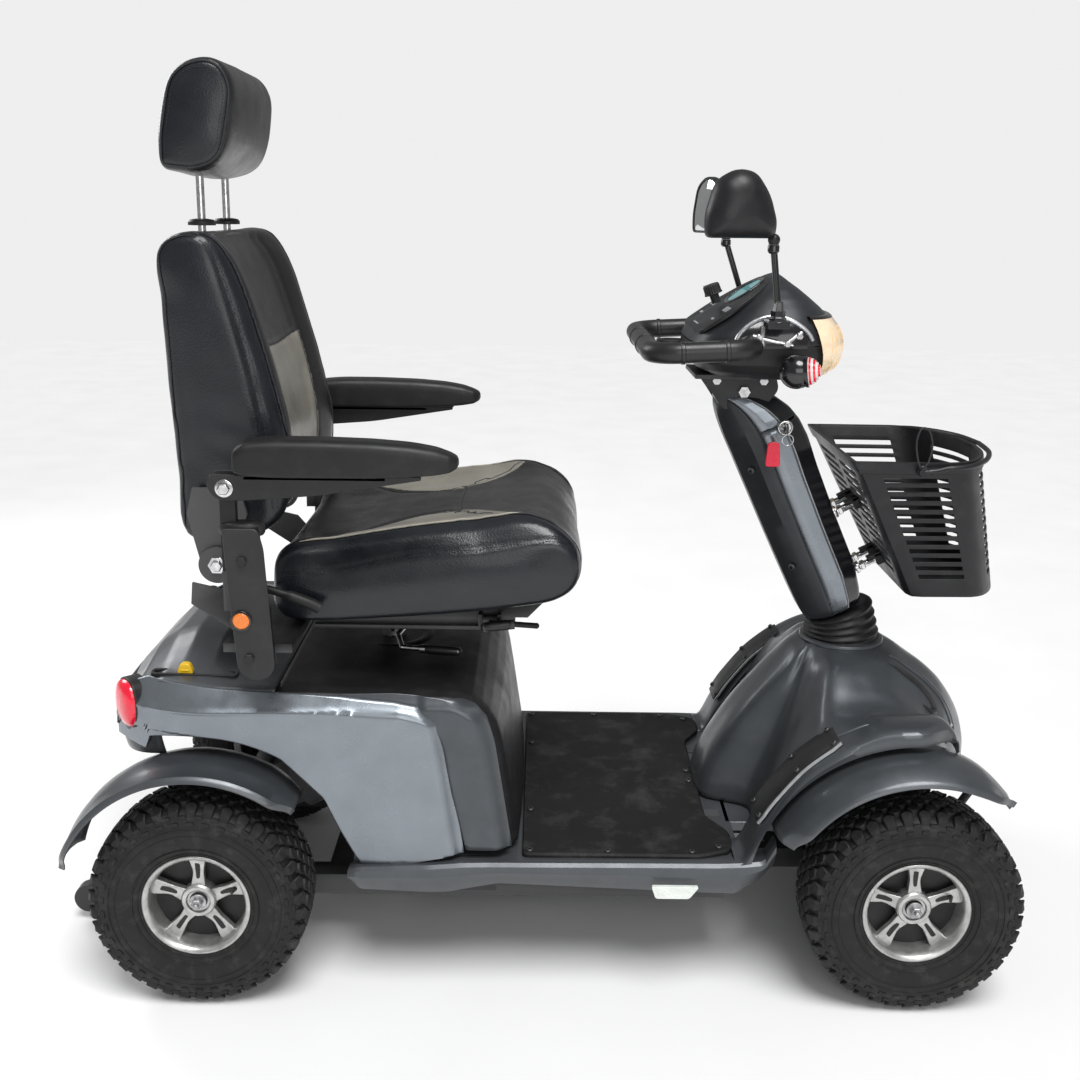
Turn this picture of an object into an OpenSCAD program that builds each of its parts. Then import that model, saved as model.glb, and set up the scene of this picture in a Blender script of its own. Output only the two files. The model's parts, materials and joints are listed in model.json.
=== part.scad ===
// Four-wheel mobility scooter with a captain's seat, tiller steering and a front basket.
// Frame: +X forwards, +Y to the rider's left, +Z up. The origin lies on the ground, under the middle of the
// scooter's length and width. All lengths are in millimetres.

/* [Wheels] */
// Distance between the front and rear axles
wheelbase = 1098; // [1090:1:1104]
// Distance between the middles of the left and right tyres
track = 564; // [556:1:572]
// Outer radius of a tyre
tyre_r = 170; // [166:1:172]
// Width of a tyre
tyre_w = 116; // [108:1:118]
// Distance from the middle plane to a kingpin
kingpin_y = 212; // [210:1:213]
// Length of the steering arms, on the stem and on both knuckles
steer_arm = 70; // [62:1:72]

/* [Body] */
// Height of the rear deck above the ground
deck_z = 500; // [490:1:506]
// Height of the top of the floor pan
floor_z = 228; // [222:1:230]
// Half of the width over the rear side panels
body_hw = 290; // [284:1:294]
// Wall thickness of the plastic covers
skin = 4; // [3:0.5:5]
// Gap between a tyre and the lip of its mudguard
guard_gap = 38; // [34:1:42]

/* [Seat] */
// Half of the width of the seat cushion
seat_hw = 250; // [235:1:255]
// Half of the width of the backrest
back_hw = 222; // [205:1:226]
// Distance from the middle plane to the middle of an armrest
arm_y = 311; // [309:1:313]
// Radius of the seat post
post_r = 20.5; // [18:0.5:22]
// Half of the width of the headrest
head_hw = 140; // [120:1:150]

/* [Tiller] */
// Lean of the tiller, in degrees backwards from upright
tiller_lean = 25; // [23:0.5:27]
// Half of the width of the tiller cover
tiller_hw = 58; // [54:1:60]
// Half of the width of the handlebar loop, to the tube's middle
bar_hw = 190; // [180:1:200]
// Radius of the handlebar grip
bar_r = 16; // [13:0.5:17]
// Half of the width of the basket's rim
basket_hw = 168; // [160:1:172]

/* [Hidden] */
$fn = 48;

steel_black = [0.09, 0.09, 0.1];
plastic_dark = [0.27, 0.29, 0.31];
plastic_black = [0.07, 0.07, 0.08];
silver_blue = [0.48, 0.53, 0.58];
leather_navy = [0.12, 0.13, 0.17];
bright_steel = [0.72, 0.73, 0.74];

rear_x = -499;
front_x = rear_x + wheelbase;
wheel_z = tyre_r;
wheel_y = track / 2;
tyre_hw = tyre_w / 2;
rim_r = 76;
stub_r = 12.45;
stub_bore_r = 12.5;
stub_end_y = wheel_y + 14;

mat_t = 4;
screw_r = 4.5;
mat_screws = [[8, 262], [130, 262], [262, 262], [306, 246], [8, 130], [285, 20]];
kick_rail = [[364, 282], [394, 331], [428, 374], [482, 415]];
kick_screws = [0.08, 0.5, 0.92];

rail_y = 150;
rail_top = 130;
rail_bottom = 95;
stem_x = 540;
stem_r = 18;
head_tube_r = 26;
running_gap = 0.05;
bend_swell = 1.04;
arm_low = 152;
arm_high = 162;
rod_low = 136;
rod_high = 150;
link_pin_r = 6;
kingpin_r = 9;
steer_angle = 27;

post_x = -231;
socket_r = post_r + 6.5;
socket_top = 470;
swivel_z = 546;
swivel_pin_z = 532;
slide_pin_z = 570;
release_z = 652;
release_x = -404;

tilt_z = 515;
tilt_pin_r = 6;
tiller_top = 440;
cover_foot_z = 557;
cover_high = 408;
key_u = 33;
key_w = 378;
peg_rows = [92, 197];

guard_lip_r = tyre_r + guard_gap;
front_guard_rise = 32;
rear_guard_rise = 15;
guard_in_y = 222;
guard_crown_y = 275;
guard_out_y = 345;
well_r = guard_lip_r + front_guard_rise + 6;

recline_x = -466;
recline_z = 683;
arm_pivot_x = -427;
arm_pivot_z = 822;
headpost_x = -508;
headpost_y = 75.5;
headpost_r = 6;
headpost_fit_r = 6.1;

bar_rear_x = 182;
bar_z = 1002;
bar_rise = 3;
lever_x = 300;
lever_z = 992;
stalk_x = 368;
stalk_y = 168;
stalk_foot_z = 1066;
mirror_pivot_z = 1160;

tip_wheel_x = -753;
tip_wheel_z = 40;
tip_wheel_r = 25;
tip_wheel_y = 100;

basket_pivot_x = 602;
basket_pivot_z = 826;
basket_top = 836;
basket_bottom = 608;
basket_slot_z = 640;
basket_slot_pitch = 21;
basket_handle_rise = 8.5;

// ---------- shared shapes ----------

module block(low, high) {
    translate(low)
        cube(high - low);
}

// A copy on each side of the middle plane
module both_sides() {
    children();
    mirror([0, 1, 0])
        children();
}

// An outline in X and Z, extruded from y0 to y1
module xz_plate(y0, y1) {
    translate([0, y1, 0])
        rotate([90, 0, 0])
            linear_extrude(y1 - y0)
                children();
}

// A round rod from point a to point b
module rod(a, b, r) {
    d = b - a;
    length = norm(d);
    translate(a)
        rotate([0, acos(d.z / length), atan2(d.y, d.x)])
            cylinder(r = r, h = length);
}

// Rods that follow a list of points, with a slightly fatter ball at each bend
module bent_rod(points, r) {
    for (i = [0 : len(points) - 2])
        rod(points[i], points[i + 1], r);
    for (i = [1 : len(points) - 2])
        translate(points[i])
            sphere(r = bend_swell * r);
}

module y_cylinder(x, z, y0, y1, r) {
    translate([x, y1, z])
        rotate([90, 0, 0])
            cylinder(r = r, h = y1 - y0);
}

module z_cylinder(x, y, z0, z1, r) {
    translate([x, y, z0])
        cylinder(r = r, h = z1 - z0);
}

// A profile of radius and width, turned round the Y axis at (x, z) from angle a0 over angle sweep
module wheel_turn(x, z, a0 = 0, sweep = 360) {
    translate([x, 0, z])
        rotate([90, 0, 0])
            rotate([0, 0, a0])
                rotate_extrude(angle = sweep)
                    children();
}

// Everything on the tiller is drawn along a straight column: u forwards, y sideways, w along the column
module on_tiller() {
    translate([stem_x, 0, tilt_z])
        rotate([0, -tiller_lean, 0])
            children();
}

function arc_points(cx, cz, r, a0, a1, steps) =
    [for (i = [0 : steps]) let (a = a0 + (a1 - a0) * i / steps) [cx + r * cos(a), cz + r * sin(a)]];

// ---------- chassis ----------

module frame_rails() {
    both_sides() {
        block([-600, rail_y - 20, rail_bottom], [330, rail_y + 20, rail_top]);
        block([290, 45, rail_bottom], [700, 70, rail_top]);
        block([290, 45, rail_bottom], [330, rail_y, rail_top]);
    }
    for (x = [-600, -330, -40, 260])
        block([x, -rail_y, rail_bottom + 5], [x + 40, rail_y, rail_top - 2]);
    block([420, -70, rail_bottom + 5], [450, 70, rail_top - 2]);
    block([670, -70, rail_bottom + 5], [700, 70, rail_top - 2]);
}

module front_axle_beam() {
    block([front_x - 20, -190, 96], [front_x + 20, 190, 128]);
    both_sides() {
        difference() {
            union() {
                block([front_x - 18, kingpin_y - 34, 96], [front_x + 18, kingpin_y - 27, 218]);
                block([front_x - 18, kingpin_y - 34, 122], [front_x + 18, kingpin_y, 134]);
                block([front_x - 18, kingpin_y - 34, 206], [front_x + 18, kingpin_y, 218]);
                z_cylinder(front_x, kingpin_y, 122, 134, 18);
                z_cylinder(front_x, kingpin_y, 206, 218, 18);
            }
            z_cylinder(front_x, kingpin_y, 110, 230, kingpin_r + running_gap);
        }
    }
}

module head_tube() {
    both_sides()
        xz_plate(22, 30)
            polygon([[560, 120], [690, 120], [600, 420], [535, 430], [535, 190], [560, 180]]);
    z_cylinder(stem_x, 0, 182, 440, head_tube_r);
}

module bumper_and_tip_arms() {
    both_sides() {
        bent_rod([[690, 58, 115], [722, 95, 205], [750, 95, 252], [750, 0, 252]], 7);
        bent_rod([[-580, tip_wheel_y - 24, 112], [-700, tip_wheel_y - 24, 80],
                  [tip_wheel_x, tip_wheel_y - 24, tip_wheel_z]], 9);
    }
}

module main_frame() {
    color(steel_black)
        difference() {
            union() {
                frame_rails();
                front_axle_beam();
                head_tube();
                bumper_and_tip_arms();
                z_cylinder(post_x, 0, 130, socket_top, socket_r);
                block([post_x - 60, -rail_y, 128], [post_x + 60, rail_y, 136]);
                // posts that carry the floor pan
                both_sides()
                    for (x = [40, 300])
                        block([x, 110, 128], [x + 24, 134, floor_z - skin]);
            }
            z_cylinder(stem_x, 0, 170, 450, stem_r + running_gap);
            z_cylinder(post_x, 0, 138, socket_top + 5, post_r + running_gap);
            // axle of the anti-tip wheels
            y_cylinder(tip_wheel_x, tip_wheel_z, -200, 200, 4 + running_gap);
        }
}

module batteries() {
    color([0.13, 0.14, 0.16])
        both_sides() {
            block([-180, 12, 142], [-46, 232, 345]);
            block([-170, 40, 345], [-150, 60, 353]);
        }
}

module control_box() {
    color([0.5, 0.5, 0.52]) {
        block([-380, -90, 356], [-290, 90, 392]);
        for (i = [-4 : 4])
            block([-378, i * 18 - 2, 392], [-292, i * 18 + 2, 400]);
    }
}

module transaxle() {
    color([0.4, 0.41, 0.42]) {
        y_cylinder(rear_x, wheel_z, -50, 50, 62);
        y_cylinder(rear_x, wheel_z, -216, 216, 24);
        y_cylinder(rear_x, wheel_z, -stub_end_y, stub_end_y, stub_r);
        // motor
        rod([rear_x + 40, 0, wheel_z + 20], [rear_x + 110, 0, wheel_z + 55], 40);
        rod([rear_x + 100, 0, wheel_z + 50], [rear_x + 186, 0, wheel_z + 93], 52);
    }
}

// ---------- floor and body ----------

sill_outline = [[-276, 190], [-268, 214], [-180, 222], [-96, 228], [372, 228], [388, 262], [392, 215],
                [366, 190], [330, 164], [-40, 180], [-120, 165], [-258, 163]];

module floor_pan() {
    color(plastic_dark)
        difference() {
            intersection() {
                xz_plate(-302, 302)
                    polygon(sill_outline);
                // the sill narrows between the wheels
                linear_extrude(400)
                    polygon([[-280, -292], [-150, -302], [-60, -296], [300, -294], [394, -286],
                             [394, 286], [300, 294], [-60, 296], [-150, 302], [-280, 292]]);
            }
            block([-240, -280, 150], [340, 280, floor_z - skin]);
            // room for the covers that stand in the pan
            block([-300, -281, 200], [-8, 281, 300]);
            block([-300, -body_hw - 0.3, 213.5], [-90, body_hw + 0.3, 300]);
            block([296, -150, 200], [420, 150, 240]);
            z_cylinder(post_x, 0, 150, 240, socket_r + 1);
        }
}

module floor_mat() {
    color(plastic_black)
        difference() {
            translate([0, 0, floor_z])
                linear_extrude(mat_t)
                    polygon([[-7, -272], [282, -272], [326, -252], [326, -190], [296, -140], [296, 140],
                             [326, 190], [326, 252], [282, 272], [-7, 272]]);
            mat_screw_heads(screw_r + 0.2, 1);
        }
}

// The screws through the mat sit just below its face
module mat_screw_heads(r, over = 0) {
    for (p = mat_screws, side = [-1, 1])
        z_cylinder(p.x, side * p.y, floor_z - over, floor_z + mat_t - 0.4 + 2 * over, r);
}

module kick_screw_heads() {
    both_sides()
        for (t = kick_screws, y = [212, 268])
            let (p = kick_rail[0] * (1 - t) + kick_rail[3] * t, bulge = 50 * t * (1 - t))
                translate([p.x - 0.7 * bulge - 8, y, p.y + 0.7 * bulge + 8])
                    sphere(r = 4);
}

module panel_screws() {
    color(steel_black) {
        mat_screw_heads(screw_r);
        kick_screw_heads();
    }
}

module sill_reflectors() {
    color([0.92, 0.92, 0.9])
        both_sides()
            xz_plate(302.5, 304.5)
                polygon([[208, 172], [258, 172], [272, 196], [200, 196]]);
}

side_outline = concat(
    [[-640, 400], [-583, 392]],
    arc_points(rear_x, wheel_z, guard_lip_r + 50, 100, 58, 6),
    [[-306, 329], [-254, 214], [-178, 214], [-94, 234], [-119, 397], [-129, 448], [-150, 475],
     [-282, 492], [-449, 496], [-582, 504], [-620, 480]]);
tail_outline = [[-640, 385], [-652, 405], [-645, 447], [-622, 478], [-590, deck_z - 5], [-535, deck_z + 6],
                [-385, deck_z], [-385, 450], [-480, 444], [-583, 396]];
tail_plan = [[-655, -140], [-640, -190], [-608, -236], [-560, -264], [-470, -body_hw], [0, -body_hw],
             [0, body_hw], [-470, body_hw], [-560, 264], [-608, 236], [-640, 190], [-655, 140]];

module rear_body_shell() {
    color(silver_blue)
        difference() {
            intersection() {
                union() {
                    xz_plate(-body_hw, body_hw)
                        polygon(tail_outline);
                    both_sides()
                        xz_plate(body_hw - skin - 2, body_hw)
                            polygon(side_outline);
                    both_sides()
                        xz_plate(240, body_hw)
                            polygon([[-640, 400], [-583, 396], [-480, 444], [-385, 450], [-385, 496],
                                     [-582, 500], [-640, 470]]);
                }
                linear_extrude(600)
                    polygon(tail_plan);
            }
            // the hollow under the deck
            intersection() {
                xz_plate(-body_hw + skin, body_hw - skin)
                    polygon([[-630, 360], [-640, 405], [-634, 440], [-613, 472], [-586, deck_z - 12],
                             [-535, deck_z - 2], [-370, deck_z - 8], [-370, 400]]);
                translate([skin, 0, 0])
                    linear_extrude(600)
                        offset_plan(skin);
            }
            // slot of the freewheel lever
            block([-572, -232, 470], [-452, -212, 530]);
            tail_lamp_blocks(0.4);
        }
}

module offset_plan(t) {
    polygon([for (p = tail_plan) [p.x, p.y - sign(p.y) * t]]);
}

module tail_lamp_blocks(grow = 0) {
    both_sides()
        hull() {
            translate([-586, 248, 426 - grow])
                cylinder(r = 14 + grow, h = 12, $fn = 32);
            translate([-580, 246, 484])
                cylinder(r = 12 + grow, h = 12 + grow, $fn = 32);
            translate([-606, 226, 436 - grow])
                cylinder(r = 10 + grow, h = 54 + grow, $fn = 32);
        }
}

module tail_lamps() {
    color([0.85, 0.05, 0.15])
        tail_lamp_blocks();
}

cover_outline = [[-383, 486], [-99, 486], [-66, 474], [-42, 440], [-26, 340], [-12, 233],
                 [-17, 233], [-31, 340], [-47, 438], [-69, 469], [-100, 481], [-383, 481]];

module seat_base_cover() {
    color(plastic_black)
        difference() {
            union() {
                xz_plate(-262, 262)
                    polygon(cover_outline);
                z_cylinder(post_x, 0, 482, 490, 49);
                z_cylinder(post_x, 0, 440, 498, 36);
            }
            z_cylinder(post_x, 0, 400, 471, socket_r + 0.4);
            z_cylinder(post_x, 0, 400, 520, post_r + 0.6);
        }
}

module corner_panels() {
    color(plastic_dark)
        both_sides()
            xz_plate(262.5, 276)
                polygon([[-282, 493], [-99, 487], [-69, 477], [-45, 428], [-14, 235], [-90, 235],
                         [-115, 397], [-125, 450], [-146, 478]]);
}

// ---------- front shroud ----------

wing_outline = concat(
    [[330, 232], [345, 236], [364, 278], [392, 327], [428, 374], [482, 416], [535, 443], [625, 449],
     [652, 444], [662, 424]],
    arc_points(front_x, wheel_z, well_r + 2, 76, 161, 9),
    [[352, 232]]);

module shroud_blob(t) {
    hull() {
        block([300 + t, -66 + t, 233], [330, 66 - t, 236]);
        z_cylinder(stem_x, 0, 470, 492 - t, 68 - t, $fn = 32);
        block([452 + t, -196 + t, 380], [640 - t, 196 - t, 428 - t]);
        block([640, -150 + t, 290], [700 - t, 150 - t, 400 - t]);
        block([700, -70 + t, 285], [738 - t, 70 - t, 372 - t]);
        block([720, -22 + t, 285], [760 - t, 22 - t, 366 - t]);
    }
}

module front_shroud() {
    color(plastic_dark) {
        difference() {
            shroud_blob(0);
            shroud_blob(skin);
            // the blob is open underneath
            block([335, -140, 220], [735, 140, 300]);
            z_cylinder(stem_x, 0, 300, 520, 58);
            // room for the wheels on full lock, and for the mudguards
            both_sides()
                for (a = [-steer_angle, 0, steer_angle])
                    translate([front_x, kingpin_y, 0])
                        rotate([0, 0, a])
                            block([-188, -8, 0], [188, 160, 350]);
            both_sides()
                y_cylinder(front_x, wheel_z, guard_in_y - 38, 400, well_r);
            // air slots beside the collar
            both_sides()
                rod([668, 56, 500], [712, 118, 350], 7);
        }
        both_sides()
            difference() {
                xz_plate(188, body_hw)
                    polygon(wing_outline);
                xz_plate(188 + skin, body_hw - skin)
                    translate([3, -skin])
                        polygon(wing_outline);
                shroud_blob(0);
            }
    }
}

module kick_panels() {
    color(plastic_black)
        difference() {
            both_sides()
                xz_plate(206, 274)
                    polygon([[363, 283], [390, 334], [424, 378], [480, 418],
                             [477, 422], [421, 381], [386, 337], [359, 286]]);
            kick_screw_heads();
        }
}

// Section of a mudguard, radius and width, with its crown so far above the outer lip
function guard_profile(rise) = [
    [guard_lip_r, guard_out_y - 4], [guard_lip_r, guard_out_y], [guard_lip_r + 9, guard_out_y],
    [guard_lip_r + 0.7 * rise + 3, guard_out_y - 22], [guard_lip_r + rise, guard_crown_y + 10],
    [guard_lip_r + rise, guard_crown_y - 12], [guard_lip_r + 0.6 * rise, guard_in_y],
    [guard_lip_r + 0.6 * rise - 4, guard_in_y], [guard_lip_r + rise - 4, guard_crown_y - 11],
    [guard_lip_r + rise - 4, guard_crown_y + 8], [guard_lip_r + 0.7 * rise - 1, guard_out_y - 25],
    [guard_lip_r + 7, guard_out_y - 4]];

module fenders() {
    color(plastic_dark)
        both_sides()
            mirror([0, 1, 0]) {
                wheel_turn(front_x, wheel_z, 52, 100)
                    polygon(guard_profile(front_guard_rise));
                wheel_turn(rear_x, wheel_z, 46, 114)
                    polygon(guard_profile(rear_guard_rise));
            }
}

module freewheel_lever() {
    color([0.95, 0.8, 0.1]) {
        block([-538, -229, 474], [-516, -215, 506]);
        block([-541, -231, 506.5], [-513, -213, 512]);
        block([-534, -226, 500], [-520, -218, 508]);
    }
}

// ---------- wheels ----------

module tyre(x, side) {
    profile = [[rim_r + 1, -41], [rim_r + 7, -41.5], [96, -tyre_hw + 3], [120, -tyre_hw],
               [tyre_r - 26, -tyre_hw],
               [tyre_r - 10, -tyre_hw + 7], [tyre_r - 2, -tyre_hw + 20], [tyre_r, -tyre_hw + 34],
               [tyre_r, tyre_hw - 34], [tyre_r - 2, tyre_hw - 20], [tyre_r - 10, tyre_hw - 7],
               [tyre_r - 26, tyre_hw], [120, tyre_hw], [96, tyre_hw - 3], [rim_r + 7, 41.5],
                   [rim_r + 1, 41]];
    color([0.08, 0.08, 0.08])
        translate([0, side * wheel_y, 0])
            wheel_turn(x, wheel_z)
                polygon(profile);
}

module rim(x, side) {
    // widths grow outwards, away from the scooter
    barrel = [[rim_r, -46], [rim_r + 6, -47], [rim_r + 6, -43], [rim_r, -42], [rim_r, 42], [rim_r + 6, 43],
              [rim_r + 6, 47], [rim_r - 3, 47], [rim_r - 6, 38], [rim_r - 6, -46]];
    color(bright_steel)
        translate([x, side * wheel_y, wheel_z])
            mirror([0, side > 0 ? 1 : 0, 0])
                rotate([90, 0, 0])
                    difference() {
                        union() {
                            rotate_extrude()
                                polygon(barrel);
                            translate([0, 0, -22])
                                cylinder(r = 25, h = 62);
                            translate([0, 0, 22])
                                for (i = [0 : 4])
                                    rotate([0, 0, 90 + 72 * i])
                                        difference() {
                                            linear_extrude(12)
                                                polygon([[18, -13], [72, -11], [72, 11], [18, 13]]);
                                            block([36, -2.5, -1], [62, 2.5, 13]);
                                        }
                            // washer, nut and the end of the axle
                            translate([0, 0, 40])
                                cylinder(r = 15, h = 2);
                            translate([0, 0, 42])
                                cylinder(r = 12, h = 8, $fn = 6);
                            translate([0, 0, 50])
                                cylinder(r = 6, h = 5);
                        }
                        translate([0, 0, -30])
                            cylinder(r = stub_bore_r, h = 30 + stub_end_y - wheel_y + 0.5);
                    }
}

module tyre_front_left() { tyre(front_x, 1); }
module tyre_front_right() { tyre(front_x, -1); }
module tyre_rear_left() { tyre(rear_x, 1); }
module tyre_rear_right() { tyre(rear_x, -1); }
module rim_front_left() { rim(front_x, 1); }
module rim_front_right() { rim(front_x, -1); }
module rim_rear_left() { rim(rear_x, 1); }
module rim_rear_right() { rim(rear_x, -1); }

module anti_tip_wheels() {
    color(plastic_black) {
        both_sides()
            y_cylinder(tip_wheel_x, tip_wheel_z, tip_wheel_y - 14, tip_wheel_y + 6, tip_wheel_r);
        y_cylinder(tip_wheel_x, tip_wheel_z, -tip_wheel_y + 1, tip_wheel_y - 1, 4);
    }
}

// ---------- steering ----------

module knuckle(side) {
    color(steel_black)
        mirror([0, side > 0 ? 0 : 1, 0]) {
            z_cylinder(front_x, kingpin_y, 134.5, 205.5, 15);
            z_cylinder(front_x, kingpin_y, 112, 228, kingpin_r);
            y_cylinder(front_x, wheel_z, kingpin_y, stub_end_y, stub_r);
            block([front_x - steer_arm, kingpin_y - 8, arm_low], [front_x, kingpin_y + 4, arm_high]);
            z_cylinder(front_x - steer_arm, kingpin_y, arm_low, arm_high, 12);
            z_cylinder(front_x - steer_arm, kingpin_y, rod_low - 2, arm_low, link_pin_r);
        }
}

module knuckle_left() { knuckle(1); }
module knuckle_right() { knuckle(-1); }

module steering_stem() {
    color(steel_black)
        difference() {
            union() {
                z_cylinder(stem_x, 0, arm_low, 478, stem_r);
                z_cylinder(stem_x, 0, 442, 452, 30);
                block([stem_x - steer_arm, -10, arm_low], [stem_x, 10, arm_high]);
                z_cylinder(stem_x - steer_arm, 0, arm_low, arm_high, 13);
                z_cylinder(stem_x - steer_arm, 0, rod_low - 2, arm_low, link_pin_r);
                // fork that carries the tilt pin
                both_sides() {
                    block([stem_x - 15, 14, 452], [stem_x + 15, 22, tilt_z]);
                    y_cylinder(stem_x, tilt_z, 14, 22, 15);
                }
                y_cylinder(stem_x, tilt_z, -22, 22, tilt_pin_r);
            }
            // waist between the fork's ears
            difference() {
                block([stem_x - 20, -14, 460], [stem_x + 20, 14, 540]);
                y_cylinder(stem_x, tilt_z, -22, 22, tilt_pin_r);
            }
        }
}

module track_rod() {
    color(bright_steel)
        difference() {
            union() {
                z_cylinder(stem_x - steer_arm, 0, rod_low, rod_high, 13);
                both_sides() {
                    rod([stem_x - steer_arm, 0, rod_low + 7],
                        [front_x - steer_arm, kingpin_y, rod_low + 7], 6);
                    z_cylinder(front_x - steer_arm, kingpin_y, rod_low, rod_high, 12);
                }
            }
            z_cylinder(stem_x - steer_arm, 0, 120, 160, link_pin_r + running_gap);
            both_sides()
                z_cylinder(front_x - steer_arm, kingpin_y, 120, 160, link_pin_r + 0.6);
        }
}

module bellows() {
    ribs = 5;
    pitch = 11.5;
    base_z = 493;
    color(plastic_black)
        translate([stem_x, 0, base_z])
            rotate_extrude()
                polygon(concat(
                    [for (i = [0 : ribs - 1]) each [[60 - 1.6 * i, i * pitch],
                        [66 - 1.8 * i, (i + 0.5) * pitch]]],
                    [[50, ribs * pitch + 3], [46, ribs * pitch + 3], [50, 0]]));
}

// ---------- tiller ----------

// Octagonal section of the tiller cover, u forwards and y sideways
function tiller_section(grow) = [
    [-50 - grow, -22], [-30, -tiller_hw + 6 - grow], [22, -tiller_hw - grow], [56 + grow, -34],
    [56 + grow, 34], [22, tiller_hw + grow], [-30, tiller_hw - 6 + grow], [-50 - grow, 22]];

module tiller_tube() {
    color(steel_black)
        on_tiller()
            difference() {
                union() {
                    cylinder(r = 17, h = tiller_top);
                    // lug between the plates of the head bracket
                    block([-15, -33.8, 414], [15, 33.8, 436]);
                    rotate([90, 0, 0])
                        translate([0, 0, -13])
                            cylinder(r = 17, h = 26);
                }
                rotate([90, 0, 0])
                    translate([0, 0, -30])
                        cylinder(r = tilt_pin_r + running_gap, h = 60);
                // flats between the fork's ears
                both_sides()
                    block([-25, 13.6, -30], [25, 40, 42]);
            }
}

// Shell of the tiller cover between two values of u
module cover_part(u0, u1) {
    difference() {
        on_tiller()
            difference() {
                linear_extrude(cover_high)
                    intersection() {
                        polygon(tiller_section(0));
                        translate([u0, -80])
                            square([u1 - u0, 160]);
                    }
                translate([0, 0, -1])
                    linear_extrude(cover_high - 3)
                        polygon(tiller_section(-skin));
                translate([0, 0, cover_high - 20])
                    cylinder(r = 17.5, h = 40);
            }
        block([400, -100, 400], [700, 100, cover_foot_z]);
    }
}

module tiller_cover() {
    color(plastic_dark)
        cover_part(-70, 21);
}

module tiller_trim() {
    color(silver_blue)
        difference() {
            union() {
                cover_part(21.3, 90);
                on_tiller()
                    for (w = peg_rows, y = [-30, 18])
                        translate([55, y, w])
                            cube([36, 12, 10]);
            }
            on_tiller()
                translate([key_u, 0, key_w])
                    rotate([90, 0, 0])
                        cylinder(r = 10.4, h = 100);
        }
}

module key_switch() {
    color(bright_steel)
        on_tiller()
            translate([key_u, -48, key_w])
                rotate([90, 0, 0])
                    difference() {
                        cylinder(r = 10, h = 16);
                        translate([0, 0, 6])
                            cylinder(r = 5.05, h = 20);
                    }
}

module key() {
    color([0.85, 0.1, 0.2]) {
        on_tiller()
            translate([key_u, -54.5, key_w])
                rotate([90, 0, 0]) {
                    cylinder(r = 5, h = 11);
                    translate([-9, -1.5, 10])
                        cube([18, 3, 20]);
                }
        // tag on the key's ring
        translate([382, -86, 808])
            cube([20, 3, 46]);
    }
}

module head_bracket() {
    color(steel_black) {
        xz_plate(-40, -34)
            bracket_outline();
        xz_plate(34, 40)
            bracket_outline();
        block([268, -60, 950], [394, 60, 956]);
    }
}

module bracket_outline() {
    polygon([[272, 956], [390, 956], [400, 925], [372, 893], [318, 893], [298, 925]]);
}

// ---------- console ----------

console_outline = [[250, 1012], [262, 1052], [300, 1078], [391, 1112], [430, 1090], [471, 1052],
                   [482, 1030], [495, 985], [486, 948], [440, 957], [270, 957.5], [252, 975]];

module console_shell() {
    color(plastic_dark)
        difference() {
            intersection() {
                xz_plate(-142, 142)
                    polygon(console_outline);
                linear_extrude(1300)
                    polygon([[248, -60], [262, -100], [310, -134], [380, -142], [450, -128], [492, -90],
                             [502, -40], [502, 40], [492, 90], [450, 128], [380, 142], [310, 134],
                             [262, 100], [248, 60]]);
            }
            // hollow for the switch gear, open at the sides below the trim
            block([300, -160, 985], [455, -120, 1030]);
            block([300, 120, 985], [455, 160, 1030]);
            // slot of the thumb lever
            difference() {
                block([240, -118, 984], [322, 118, 1000]);
                z_cylinder(lever_x, 0, 984, 1000, 6 - running_gap);
            }
            translate([352, 0, 1099])
                rotate([0, -20, 0])
                    cube([95, 85, 10], center = true);
            translate([296, 0, 1076])
                rotate([0, -21, 0])
                    translate([0, 0, -14])
                        cylinder(r = 8.1, h = 40);
            block([484, -100, 940], [540, 100, 1060]);
        }
}

module display() {
    color([0.3, 0.75, 0.8])
        translate([352, 0, 1096])
            rotate([0, -20, 0])
                cube([91, 83, 3.6], center = true);
}

module speed_dial() {
    color(plastic_black)
        translate([296, 0, 1076])
            rotate([0, -21, 0]) {
                translate([0, 0, -12])
                    cylinder(r = 8, h = 18);
                translate([0, 0, 3])
                    cylinder(r = 13, h = 17);
            }
}

module front_lamps() {
    color([0.95, 0.8, 0.55])
        intersection() {
            xz_plate(-98, 98)
                polygon([[484.3, 1040], [492, 1030], [504, 988], [496, 950], [484.3, 950]]);
            linear_extrude(1300)
                polygon([[480, -98], [492, -90], [506, -40], [506, 40], [492, 90], [480, 98]]);
        }
    color(plastic_black)
        both_sides() {
            rod([378, 172, 976], [424, 172, 976], 22);
            rod([424, 172, 976], [438, 172, 976], 18);
            y_cylinder(395, 976, 142.5, 156, 8);
        }
}

// A bend of a tube in the XY plane about the point c, from angle a0 over angle sweep
module tube_bend(c, bend, r, a0, sweep = 90) {
    translate([c.x, c.y, 0])
        rotate([0, 0, a0])
            rotate_extrude(angle = sweep)
                translate([bend, 0])
                    circle(r = r);
}

module handlebar_loop() {
    bend = 42;
    side_end = 112;
    color(plastic_black)
        translate([bar_rear_x, 0, bar_z])
            rotate([0, -bar_rise, 0]) {
                rod([0, bend - bar_hw, 0], [0, bar_hw - bend, 0], bar_r);
                both_sides() {
                    tube_bend([bend, bar_hw - bend], bend, bar_r, 90);
                    rod([bend, bar_hw, 0], [side_end, bar_hw, 0], bar_r);
                    tube_bend([side_end, bar_hw - bend], bend, bar_r, 0);
                    rod([side_end + bend, bar_hw - bend, 0], [side_end + bend, 120, 0], bar_r);
                }
            }
}

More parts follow.
